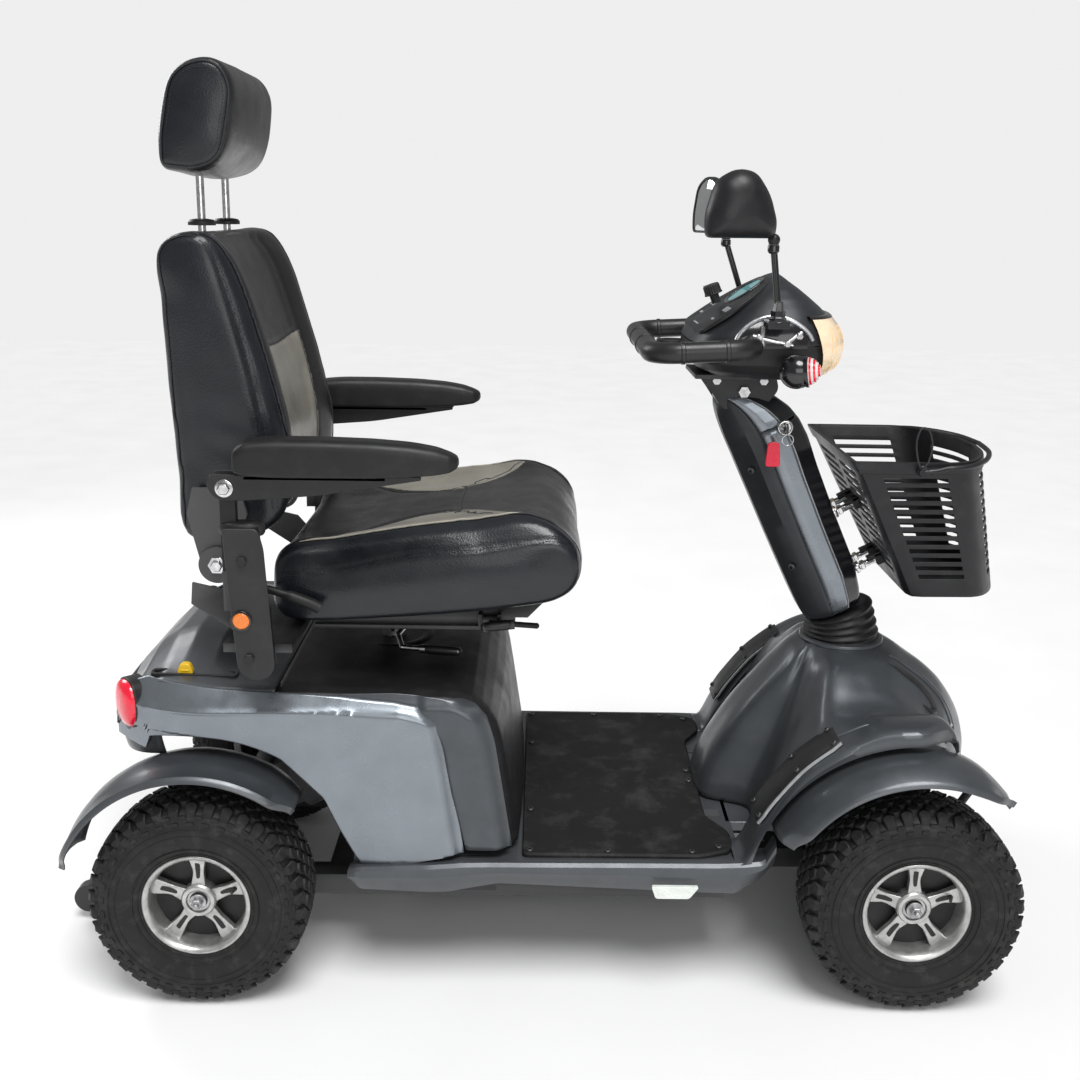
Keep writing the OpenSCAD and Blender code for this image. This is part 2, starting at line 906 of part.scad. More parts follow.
module throttle_lever() {
    color(plastic_black)
        translate([0, 0, lever_z - 4])
            linear_extrude(8)
                difference() {
                    union() {
                        translate([lever_x, 0])
                            circle(r = 18);
                        both_sides() {
                            polygon([[290, 4], [300, 14], [262, 72], [250, 64]]);
                            translate([240, 88])
                                circle(r = 27);
                        }
                    }
                    both_sides() {
                        translate([240, 88])
                            circle(r = 19);
                        // the loops are open towards the middle of the bar
                        polygon([[234, 92], [204, 60], [204, 88]]);
                    }
                    translate([lever_x, 0])
                        circle(r = 6);
                }
}

module mirror_stalks() {
    color(steel_black) {
        rod([stalk_x, -stalk_y, stalk_foot_z], [356, -stalk_y, mirror_pivot_z], 5);
        rod([stalk_x, stalk_y, stalk_foot_z], [336, stalk_y, mirror_pivot_z], 5);
        both_sides() {
            z_cylinder(stalk_x, stalk_y, stalk_foot_z - 14, stalk_foot_z, 11, $fn = 6);
            block([352, 142.4, 1040], [384, 182, 1052]);
        }
    }
}

// A mirror shell with its glass, width along +Y from the pivot, facing backwards
module mirror_head() {
    hull() {
        for (p = [[0, 12, 12], [0, 88, 12], [0, 92, 50], [0, 60, 88], [0, 24, 80]])
            translate(p)
                rotate([0, -90, 0])
                    cylinder(r = 12, h = 6, $fn = 32);
        translate([16, 50, 45])
            sphere(r = 20, $fn = 24);
    }
    sphere(r = 9);
    // round foot on the pivot's axis
    translate([0, 0, -7])
        cylinder(r = 7.5, h = 7);
}

module mirror_left() {
    color(plastic_black)
        translate([336, stalk_y, mirror_pivot_z + 9.5])
            rotate([0, 0, 22])
                mirror_head();
}

module mirror_right() {
    color(plastic_black)
        translate([356, -stalk_y, mirror_pivot_z + 9.5])
            mirror([0, 1, 0])
                rotate([0, 0, 80])
                    mirror_head();
}

// ---------- basket ----------

module basket() {
    color(plastic_black)
        difference() {
            union() {
                basket_body(0);
                // hooks over the pegs
                on_tiller()
                    for (w = peg_rows, y = [-31, 17]) {
                        block([80, y, w + 10.5], [106, y + 14, w + 16]);
                        block([92, y, w - 4], [106, y + 14, w + 16]);
                    }
            }
            basket_body(4);
            // slots in the sides
            for (i = [0 : 7])
                let (z = basket_slot_z + i * basket_slot_pitch, drop = basket_top - z) {
                    both_sides()
                        block([532 + 0.44 * drop, 100, z], [646 + 0.26 * drop, 200, z + 9]);
                    block([480, -80, z], [800, 80, z + 9]);
                }
            y_cylinder(basket_pivot_x, basket_pivot_z, -200, 200, 4.05);
        }
}

module basket_body(t) {
    rise = t > 0 ? 20 : 0;
    hull() {
        translate([0, 0, basket_top - 4 + rise])
            linear_extrude(4)
                basket_ring(500 + t, 737 - t, basket_hw - t);
        translate([0, 0, basket_bottom + t])
            linear_extrude(3)
                basket_ring(612 + t, 778 - t, 122 - t);
    }
}

// Plan of the basket: square at the back, drawn to a round nose at the front
module basket_ring(x0, x1, hw) {
    corner = 22;
    nose = 0.55 * hw;
    hull() {
        both_sides()
            for (x = [x0 + corner, x1 - 0.47 * hw])
                translate([x, hw - corner])
                    circle(r = corner, $fn = 32);
        translate([x1 - nose, 0])
            circle(r = nose, $fn = 48);
    }
}

module basket_handle() {
    wire_r = 4;
    gap = 7;
    bend = 60;
    side = 76;
    color(plastic_black)
        translate([basket_pivot_x, 0, basket_pivot_z])
            rotate([0, -basket_handle_rise, 0]) {
                both_sides() {
                    translate([0, basket_hw + gap + 4, 0])
                        rotate([90, 0, 0])
                            cylinder(r = wire_r - 0.2, h = gap + 12);
                    rod([-6, basket_hw + gap, 0], [side, basket_hw + gap, 0], wire_r);
                    tube_bend([side, basket_hw + gap - bend], bend, wire_r, 0);
                }
                rod([side + bend, bend - basket_hw - gap, 0], [side + bend, basket_hw + gap - bend, 0],
                    wire_r);
            }
}

// ---------- seat ----------

module seat_post() {
    color(bright_steel)
        difference() {
            z_cylinder(post_x, 0, 142, swivel_z + 6, post_r);
            // height holes
            for (i = [0 : 3])
                y_cylinder(post_x, 505 + i * 12 - 24, -30, 30, 3);
        }
}

module seat_rails() {
    color(steel_black)
        difference() {
            union() {
                z_cylinder(post_x, 0, swivel_z - 30, swivel_z + 8, post_r + 7);
                block([-340, -150, swivel_z + 8], [-30, 150, swivel_z + 14]);
                // lugs and pin of the swivel lever
                for (x = [-214, -184])
                    block([x, -40, 524], [x + 6, -20, swivel_z + 8]);
                rod([-210, -30, swivel_pin_z], [-180, -30, swivel_pin_z], 3);
                both_sides()
                    block([-340, 112, swivel_z + 14], [-20, 138, swivel_z + 26]);
            }
            z_cylinder(post_x, 0, 500, swivel_z + 6.3, post_r + running_gap);
            block([-150, -90, 540], [-50, 90, 570]);
        }
}

module seat_frame() {
    color(steel_black) {
        both_sides() {
            xz_plate(108, 142)
                polygon([[-392, 574], [-350, 572.5], [0, 572.5], [38, 612], [-392, 587]]);
            block([-440, 142, 577], [-340, 322, 590]);
            // outer bracket of the armrest post
            xz_plate(322, 337)
                polygon([[-429, 766], [-381, 766], [-363, 560], [-372, 546], [-388, 541], [-404, 546],
                         [-415, 560]]);
            block([-420, 304, 577], [-372, 322, 640]);
            // armrest post
            block([-436, 306, 640], [-414, 320, 806]);
            block([-436, 306, 640], [-384, 322, 700]);
            block([-436, 316, 790], [-414, 320, arm_pivot_z + 14]);
            // recline hinge plates
            xz_plate(233, 239)
                polygon([[-505, 655], [-440, 640], [-385, 577], [-440, 577], [-508, 622]]);
            y_cylinder(recline_x, recline_z, 233, 239, 28);
            y_cylinder(recline_x, recline_z, 224, 239, 6);
            block([-440, 233, 577], [-385, 239, 590]);
            // armrest pivot with its bolt head
            y_cylinder(arm_pivot_x, arm_pivot_z, 286, 328, 5);
            y_cylinder(arm_pivot_x, arm_pivot_z, 326, 332, 9, $fn = 6);
            y_cylinder(-407, 632, 337, 341, 13);
        }
        // lugs and pin of the slide lever, pin of the recline lever
        mirror([0, 1, 0]) {
            for (x = [-78, -48])
                block([x, 142, 562], [x + 6, 158, 582]);
            rod([-75, 150, slide_pin_z], [-45, 150, slide_pin_z], 3);
            y_cylinder(release_x, release_z, 239, 268, 4);
            block([-450, 233, 628], [release_x + 4, 239, release_z + 6]);
        }
        block([-392, -142, 575], [-352, 142, 587]);
    }
}

module seat_cushion() {
    color(leather_navy)
        hull()
            both_sides() {
                y_cylinder(-372, 628, seat_hw - 60, seat_hw - 8, 24, $fn = 24);
                y_cylinder(-376, 674, seat_hw - 60, seat_hw - 8, 18, $fn = 24);
                y_cylinder(20, 660, seat_hw - 60, seat_hw - 8, 30, $fn = 24);
                y_cylinder(50, 690, seat_hw - 60, seat_hw - 14, 38, $fn = 24);
                y_cylinder(-40, 726, seat_hw - 60, seat_hw - 14, 32, $fn = 24);
                y_cylinder(-100, 690, seat_hw - 30, seat_hw, 40, $fn = 24);
            }
}

module back_frame() {
    color(steel_black)
        both_sides()
            difference() {
                union() {
                    xz_plate(225, 231)
                        polygon([[-492, 683], [-440, 683], [-420, 760], [-430, 800], [-500, 800],
                            [-510, 760]]);
                    y_cylinder(recline_x, recline_z, 225, 231, 27);
                }
                y_cylinder(recline_x, recline_z, 200, 250, 6 + running_gap);
            }
}

back_outline = [[-541, 1160], [-545, 1080], [-541, 900], [-524, 722], [-500, 712], [-430, 722], [-372, 752],
                [-356, 800], [-353, 866], [-372, 970], [-404, 1070], [-432, 1150], [-452, 1176],
                    [-520, 1180]];

module backrest_cushion() {
    color(leather_navy)
        difference() {
            xz_plate(-back_hw, back_hw)
                polygon(back_outline);
            both_sides()
                z_cylinder(headpost_x, headpost_y, 1000, 1200, headpost_fit_r);
        }
}

module armrest(side) {
    mirror([0, side > 0 ? 0 : 1, 0]) {
        color(steel_black) {
            difference() {
                union() {
                    xz_plate(arm_y + 10, arm_y + 14)
                        arm_channel_outline();
                    xz_plate(arm_y - 18, arm_y - 14)
                        arm_channel_outline();
                    block([-405, arm_y - 18, 834], [-240, arm_y + 14, 838]);
                }
                y_cylinder(arm_pivot_x, arm_pivot_z, 280, 340, 5 + running_gap);
            }
        }
        color(plastic_black)
            xz_plate(arm_y - 26, arm_y + 26)
                polygon([[-414, 846], [-414, 872], [-400, 886], [-200, 884], [-120, 874], [-98, 864],
                         [-98, 856], [-112, 848], [-200, 839], [-380, 838.3]]);
    }
}

module arm_channel_outline() {
    polygon([[-447, 846], [-452, 826], [-440, 806], [-400, 806], [-240, 822], [-150, 838], [-150, 838.2],
             [-380, 838.2], [-410, 846]]);
}

module armrest_left() { armrest(1); }
module armrest_right() { armrest(-1); }

module headrest_posts() {
    color(bright_steel)
        both_sides()
            z_cylinder(headpost_x, headpost_y, 1030, 1300, headpost_r);
}

module headrest_pad() {
    color(leather_navy)
        difference() {
            hull()
                both_sides() {
                    y_cylinder(-520, 1289, head_hw - 40, head_hw - 4, 27, $fn = 24);
                    y_cylinder(-474, 1296, head_hw - 40, head_hw, 34, $fn = 24);
                    y_cylinder(-505, 1378, head_hw - 40, head_hw - 4, 40, $fn = 24);
                    y_cylinder(-478, 1380, head_hw - 40, head_hw, 38, $fn = 24);
                }
            both_sides()
                z_cylinder(headpost_x, headpost_y, 1200, 1302, headpost_r + 0.2);
        }
}

// Eye of a lever that turns about a pin along X
module lever_eye(x0, x1, y, z, r) {
    difference() {
        rod([x0, y, z], [x1, y, z], r);
        rod([x0 - 1, y, z], [x1 + 1, y, z], 3 + running_gap);
    }
}

module swivel_lever() {
    color(bright_steel) {
        lever_eye(-207.6, -184.4, -30, swivel_pin_z, 7);
        bent_rod([[-196, -35, swivel_pin_z], [-214, -90, 522], [-206, -104, 506], [-170, -109, 505]], 4.5);
    }
    color(plastic_black)
        rod([-176, -108, 505], [-112, -114, 503], 7);
}

module slide_lever() {
    color(steel_black) {
        lever_eye(-71.6, -48.4, -150, slide_pin_z, 6.5);
        bent_rod([[-60, -160, slide_pin_z], [14, -190, 576], [-24, -206, 584]], 4.5);
        rod([-20, -204, 583], [-68, -207, 578], 7.5);
    }
}

module recline_lever() {
    color(plastic_black)
        mirror([0, 1, 0])
            difference() {
                union() {
                    xz_plate(262, 268)
                        polygon([[-416, 662], [-386, 662], [-312, 636], [-308, 622], [-330, 624],
                                 [-392, 642], [-416, 644]]);
                    y_cylinder(release_x, release_z, 246, 268, 9);
                }
                y_cylinder(release_x, release_z, 200, 300, 4 + running_gap);
            }
}

main_frame();
batteries();
control_box();
transaxle();
floor_pan();
floor_mat();
panel_screws();
sill_reflectors();
rear_body_shell();
seat_base_cover();
corner_panels();
tail_lamps();
front_shroud();
kick_panels();
fenders();
freewheel_lever();
tyre_front_left();
tyre_front_right();
tyre_rear_left();
tyre_rear_right();
rim_front_left();
rim_front_right();
rim_rear_left();
rim_rear_right();
knuckle_left();
knuckle_right();
steering_stem();
track_rod();
bellows();
anti_tip_wheels();
tiller_tube();
tiller_cover();
tiller_trim();
key_switch();
key();
head_bracket();
console_shell();
display();
speed_dial();
front_lamps();
handlebar_loop();
throttle_lever();
mirror_stalks();
mirror_left();
mirror_right();
basket();
basket_handle();
seat_post();
seat_rails();
seat_frame();
seat_cushion();
back_frame();
backrest_cushion();
armrest_left();
armrest_right();
headrest_posts();
headrest_pad();
swivel_lever();
slide_lever();
recline_lever();
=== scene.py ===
"""Looks of a four-wheel mobility scooter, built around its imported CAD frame.

Points in this file are in millimetres, in the row frame: +X forwards, +Y to the rider's left, +Z up.
make() turns them into metres.
"""

import json
import math

import bmesh
import bpy
import numpy as np
from mathutils import Matrix, Vector, kdtree, noise
from mathutils.bvhtree import BVHTree


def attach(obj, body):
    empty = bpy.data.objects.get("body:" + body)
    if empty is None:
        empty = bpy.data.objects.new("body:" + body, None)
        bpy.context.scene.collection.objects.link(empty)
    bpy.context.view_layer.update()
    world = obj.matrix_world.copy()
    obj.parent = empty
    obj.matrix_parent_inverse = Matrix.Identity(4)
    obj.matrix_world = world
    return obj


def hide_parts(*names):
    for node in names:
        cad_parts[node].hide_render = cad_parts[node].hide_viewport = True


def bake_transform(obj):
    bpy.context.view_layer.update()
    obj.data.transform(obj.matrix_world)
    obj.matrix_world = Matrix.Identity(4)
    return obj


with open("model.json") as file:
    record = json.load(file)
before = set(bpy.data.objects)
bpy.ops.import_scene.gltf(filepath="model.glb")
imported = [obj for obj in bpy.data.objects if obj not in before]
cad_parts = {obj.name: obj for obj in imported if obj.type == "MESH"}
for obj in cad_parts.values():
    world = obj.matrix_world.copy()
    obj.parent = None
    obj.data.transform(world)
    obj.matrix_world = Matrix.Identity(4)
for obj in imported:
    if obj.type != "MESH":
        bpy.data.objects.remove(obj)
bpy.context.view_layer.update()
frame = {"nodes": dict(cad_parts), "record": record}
scene = bpy.context.scene
nodes = frame["nodes"]

# ---------- places shared with the CAD frame ----------

REAR_X, FRONT_X, WHEEL_Z, WHEEL_Y = -499, 599, 170, 282
STEM_X, TILT_Z, TILLER_LEAN = 540, 515, 25
POST_X, FLOOR_Z = -231, 228
GUARD_LIP_R = 208
BASKET_FLOOR, BASKET_TOP, BASKET_MIDDLE_X = 608, 836, 695
HANDLE_X, HANDLE_Y, HANDLE_Z = 602, 180, 826
HEADPOST_X, HEADPOST_Y = -508, 75.5
ARM_PIVOT, ARM_Y = (-427, 822), 311
BRACKET_FACE_Y = 340.5
BAR_X, BAR_Z, BAR_SLOPE = 182, 1002, math.radians(3)
CONSOLE_SPLIT, PANEL_SLOPE = 1010, math.radians(33.7)
LEFT_MIRROR, RIGHT_MIRROR = (336, 168, 1169.5), (356, -168, 1169.5)

# ---------- shapes: each is (points, faces) ----------


def join(*shapes):
    """Several shapes as one."""
    points, faces = [], []
    for shape_points, shape_faces in shapes:
        start = len(points)
        points += [tuple(p) for p in shape_points]
        faces += [[i + start for i in face] for face in shape_faces]
    return points, faces


def moved(shape, matrix):
    """The shape after a matrix."""
    return [tuple(matrix @ Vector(p)) for p in shape[0]], shape[1]


def flipped(shape):
    """The mirror image across the middle plane."""
    return [(x, -y, z) for x, y, z in shape[0]], [face[::-1] for face in shape[1]]


def both_sides(shape):
    """The shape and its mirror image."""
    return join(shape, flipped(shape))


def loft(rings, wrap=True, caps=True, close=False):
    """A skin over rings that have equally many points."""
    size = len(rings[0])
    points = [tuple(p) for ring in rings for p in ring]
    faces = []
    for i in range(len(rings) if close else len(rings) - 1):
        here, there = i * size, (i + 1) % len(rings) * size
        for j in range(size if wrap else size - 1):
            k = (j + 1) % size
            faces.append([here + j, here + k, there + k, there + j])
    if wrap and caps and not close:
        faces.append(list(range(size))[::-1])
        faces.append([len(points) - size + j for j in range(size)])
    return points, faces


def axis_point(axis, a, b, t):
    """Outline coordinates a and b, and t along the axis, as a point."""
    return {"x": (t, a, b), "y": (a, t, b), "z": (a, b, t)}[axis]


def prism(outline, low, high, axis="y"):
    """An outline drawn out along an axis."""
    return loft([[axis_point(axis, a, b, t) for a, b in outline] for t in (low, high)])


def block(low, high):
    """A box between two corners."""
    (x0, y0, z0), (x1, y1, z1) = low, high
    return prism([(x0, y0), (x1, y0), (x1, y1), (x0, y1)], z0, z1, "z")


def arc(cx, cy, r, a0, a1, steps):
    """Points on an arc, from one angle to another in degrees."""
    return [(cx + r * math.cos(a), cy + r * math.sin(a))
            for a in np.radians(np.linspace(a0, a1, steps + 1))]


def rounded(outline, radius, steps=4):
    """A closed outline with its corners cut to arcs. radius is one number, or one for each corner."""
    made = []
    count = len(outline)
    radii = radius if hasattr(radius, "__len__") else [radius] * count
    for i, corner in enumerate(outline):
        p, q, s = Vector(outline[i - 1]), Vector(corner), Vector(outline[(i + 1) % count])
        reach = min(radii[i], 0.45 * (p - q).length, 0.45 * (s - q).length)
        start, end = q + (p - q).normalized() * reach, q + (s - q).normalized() * reach
        for k in range(steps + 1):
            t = k / steps
            made.append(tuple(start * (1 - t) ** 2 + q * 2 * t * (1 - t) + end * t * t))
    return made


def smooth_path(points, steps=8, closed=False):
    """A Catmull-Rom curve through the points."""
    pts = [Vector(p) for p in points]
    if not closed:
        pts = [pts[0] * 2 - pts[1], *pts, pts[-1] * 2 - pts[-2]]
    count = len(pts)
    made = []
    spans = range(count) if closed else range(1, count - 2)
    for i in spans:
        a, b, c, d = (pts[(i + k) % count] for k in (-1, 0, 1, 2))
        for k in range(steps):
            t = k / steps
            made.append(0.5 * ((2 * b) + (c - a) * t + (2 * a - 5 * b + 4 * c - d) * t * t
                               + (3 * b - a - 3 * c + d) * t ** 3))
    if not closed:
        made.append(pts[-2])
    return made


def tube(points, radius, sides=12, closed=False, caps=True, section=None):
    """A tube along points. radius is a number or a function of the share of the way along."""
    pts = [Vector(p) for p in points]
    count = len(pts)
    rings, side = [], None
    for i, p in enumerate(pts):
        before = pts[i - 1] if (i > 0 or closed) else p
        after = pts[(i + 1) % count] if (i < count - 1 or closed) else p
        along = (after - before).normalized()
        if side is None:
            side = along.orthogonal().normalized()
        side = (side - along * side.dot(along)).normalized()
        up = along.cross(side)
        r = radius(i / max(count - 1, 1)) if callable(radius) else radius
        ring = section or [(math.cos(a), math.sin(a)) for a in np.linspace(0, 2 * math.pi, sides + 1)[:-1]]
        rings.append([p + side * (u * r) + up * (v * r) for u, v in ring])
    return loft(rings, caps=caps, close=closed)


def rod(a, b, radius, sides=16):
    """A straight round bar."""
    return tube([a, b], radius, sides)


def lathe(profile, x, z, y=0, sides=64, start=0, sweep=360, side=1):
    """A closed profile of (radius, width) turned round the Y axis through (x, z)."""
    whole = sweep >= 360
    angles = np.radians(start + np.linspace(0, sweep, sides + 1))[: sides if whole else sides + 1]
    rings = [[(x + r * math.cos(a), y + side * w, z + r * math.sin(a)) for r, w in profile] for a in angles]
    return loft(rings, close=whole)


def spun(profile, place, axis, sides=32):
    """A profile of (radius, height) turned round an axis through place, open profiles closed by caps."""
    turn = Vector((0, 0, 1)).rotation_difference(Vector(axis)).to_matrix().to_4x4()
    rings = [[(r * math.cos(a), r * math.sin(a), h) for a in np.linspace(0, 2 * math.pi, sides + 1)[:-1]]
             for r, h in profile]
    return moved(loft(rings), Matrix.Translation(place) @ turn)


def grid(function, columns, rows):
    """A surface of function(u, v), with u and v from 0 to 1."""
    points = [tuple(function(i / columns, j / rows)) for j in range(rows + 1) for i in range(columns + 1)]
    wide = columns + 1
    return points, [[j * wide + i, j * wide + i + 1, (j + 1) * wide + i + 1, (j + 1) * wide + i]
                    for j in range(rows) for i in range(columns)]


def on_tiller(u, y, w):
    """A point given along the tiller: u forwards, y sideways, w up the column."""
    lean = math.radians(TILLER_LEAN)
    return (STEM_X + u * math.cos(lean) - w * math.sin(lean), y,
            TILT_Z + u * math.sin(lean) + w * math.cos(lean))

# ---------- pieces ----------


def make(name, shape, body, slot, stand_in=(), bevel=0, sharp=35, subdivide=0, thick=0, segments=2):
    """Adds a piece in the finish of that slot. bevel and thick are in millimetres."""
    mesh = bpy.data.meshes.new(name)
    mesh.from_pydata([Vector(p) / 1000 for p in shape[0]], [], shape[1])
    build = bmesh.new()
    build.from_mesh(mesh)
    bmesh.ops.remove_doubles(build, verts=build.verts, dist=1e-6)
    bmesh.ops.recalc_face_normals(build, faces=build.faces)
    build.to_mesh(mesh)
    build.free()
    mesh.shade_smooth()
    mesh.set_sharp_from_angle(angle=math.radians(sharp))
    piece = bpy.data.objects.new(name, mesh)
    scene.collection.objects.link(piece)
    mesh.materials.append(FINISHES[slot])
    if subdivide:
        piece.modifiers.new("round", "SUBSURF").render_levels = subdivide
        piece.modifiers["round"].levels = subdivide
    if thick:
        wall = piece.modifiers.new("wall", "SOLIDIFY")
        wall.thickness = thick / 1000
        wall.offset = -1
    if bevel:
        edge = piece.modifiers.new("edge", "BEVEL")
        edge.width = bevel / 1000
        edge.segments = segments
        edge.angle_limit = math.radians(35)
        edge.use_clamp_overlap = True
    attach(piece, body)
    if stand_in:
        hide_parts(*([stand_in] if isinstance(stand_in, str) else stand_in))
    return piece


# ---------- finishes ----------


def node_graph(name):
    """A new material with its node tree and its shader."""
    material = bpy.data.materials.new(name)
    material.use_nodes = True
    tree = material.node_tree
    shader = tree.nodes["Principled BSDF"]
    return material, tree, shader


def add_node(tree, kind, **values):
    """A node with its properties and inputs set by name."""
    node = tree.nodes.new(kind)
    for key, value in values.items():
        if hasattr(node, key):
            setattr(node, key, value)
        else:
            node.inputs[key.replace("_", " ")].default_value = value
    return node


def noise_of(tree, size, detail=4.0, roughness=0.55):
    """Noise with features of about that size, in millimetres, fixed to the piece."""
    place = add_node(tree, "ShaderNodeTexCoord")
    texture = add_node(tree, "ShaderNodeTexNoise", Scale=1000 / size, Detail=detail, Roughness=roughness)
    tree.links.new(place.outputs["Object"], texture.inputs["Vector"])
    return texture.outputs["Fac"]


def cells_of(tree, size):
    """Rounded cells of about that size, in millimetres, fixed to the piece."""
    place = add_node(tree, "ShaderNodeTexCoord")
    texture = add_node(tree, "ShaderNodeTexVoronoi", feature="SMOOTH_F1", Scale=1000 / size, Smoothness=0.6)
    tree.links.new(place.outputs["Object"], texture.inputs["Vector"])
    return texture.outputs["Distance"]


def ranged(tree, value, low, high, to_low, to_high):
    """The value mapped from one range to another."""
    node = add_node(tree, "ShaderNodeMapRange", From_Min=low, From_Max=high, To_Min=to_low, To_Max=to_high)
    tree.links.new(value, node.inputs["Value"])
    return node.outputs["Result"]


def mixed(tree, share, a, b):
    """Colour a, or b where share is 1. a and b are colours or sockets."""
    node = add_node(tree, "ShaderNodeMix", data_type="RGBA")
    if hasattr(share, "links"):
        tree.links.new(share, node.inputs["Factor"])
    else:
        node.inputs["Factor"].default_value = share
    for socket, value in (("A", a), ("B", b)):
        target = [i for i in node.inputs if i.name == socket and i.type == "RGBA"][0]
        if hasattr(value, "links"):
            tree.links.new(value, target)
        else:
            target.default_value = (*value, 1)
    return [o for o in node.outputs if o.type == "RGBA"][0]


def bump(tree, height, depth, before=None):
    """A bump of that depth in millimetres."""
    node = add_node(tree, "ShaderNodeBump", Strength=1.0, Distance=depth / 1000)
    tree.links.new(height, node.inputs["Height"])
    if before is not None:
        tree.links.new(before, node.inputs["Normal"])
    return node.outputs["Normal"]


def finish(name, colour, rough, metal=0.0, shade=0.15, patch=70, grain=0.0, grain_size=1.2, cells=0.0,
           cell_size=2.0, waves=0.0, dust=0.0, dust_colour=(0.3, 0.29, 0.27), dust_size=30, worn=0.0,
           coat=0.0, sheen=0.0, painted=False, spread=0.08, shine=0.5):
    """A finish with uneven colour and gloss, a grain, dust in patches and worn edges."""
    material, tree, shader = node_graph(name)
    links = tree.links
    patches = ranged(tree, noise_of(tree, patch), 0.3, 0.7, 0, 1)
    if painted:
        paint = add_node(tree, "ShaderNodeAttribute", attribute_name="tint").outputs["Color"]
        base = mixed(tree, ranged(tree, noise_of(tree, patch), 0.3, 0.7, 0, shade), paint, (0, 0, 0))
    else:
        base = mixed(tree, patches, [c * (1 - shade) for c in colour],
                     [min(1, c * (1 + shade)) for c in colour])
    if worn:
        edges = add_node(tree, "ShaderNodeNewGeometry").outputs["Pointiness"]
        base = mixed(tree, ranged(tree, edges, 0.52, 0.6, 0, worn), base, (0.32, 0.32, 0.33))
    if dust:
        fall = ranged(tree, noise_of(tree, dust_size, 9.0, 0.68), 0.5, 0.72, 0, dust)
        base = mixed(tree, fall, base, dust_colour)
    links.new(base, shader.inputs["Base Color"])
    links.new(ranged(tree, noise_of(tree, patch * 0.6, 6.0), 0.3, 0.7, rough - spread, rough + spread),
              shader.inputs["Roughness"])
    normal = None
    if waves:
        normal = bump(tree, noise_of(tree, 55, 3.0), waves, normal)
    if cells:
        normal = bump(tree, cells_of(tree, cell_size), cells, normal)
    if grain:
        normal = bump(tree, noise_of(tree, grain_size, 3.0), grain, normal)
    if normal is not None:
        links.new(normal, shader.inputs["Normal"])
    shader.inputs["Metallic"].default_value = metal
    shader.inputs["Coat Weight"].default_value = coat
    shader.inputs["Coat Roughness"].default_value = 0.12
    shader.inputs["Sheen Weight"].default_value = sheen
    shader.inputs["Specular IOR Level"].default_value = shine
    return material


def clear_finish(name, colour, rough, glow=0.0, cells=0.0, cell_size=6.0, metal=0.0):
    """A lens or mirror: coated, with an even or a prismed surface. glow gives it light of its own: a lamp's own
    glow, or painted light on the reflectors.
    """
    material, tree, shader = node_graph(name)
    shade = mixed(tree, noise_of(tree, 14), [c * 0.8 for c in colour], [min(1, c * 1.15) for c in colour])
    tree.links.new(shade, shader.inputs["Base Color"])
    shader.inputs["Roughness"].default_value = rough
    shader.inputs["Metallic"].default_value = metal
    shader.inputs["Coat Weight"].default_value = 0.8
    shader.inputs["Coat Roughness"].default_value = 0.04
    if cells:
        tree.links.new(bump(tree, cells_of(tree, cell_size), cells), shader.inputs["Normal"])
    if glow:
        tree.links.new(shade, shader.inputs["Emission Color"])
        shader.inputs["Emission Strength"].default_value = glow
    return material


NAVY, CHARCOAL, DARK_PANEL = (0.0095, 0.011, 0.0155), (0.013, 0.013, 0.0135), (0.0105, 0.0105, 0.011)
GREIGE = (0.26, 0.245, 0.21)

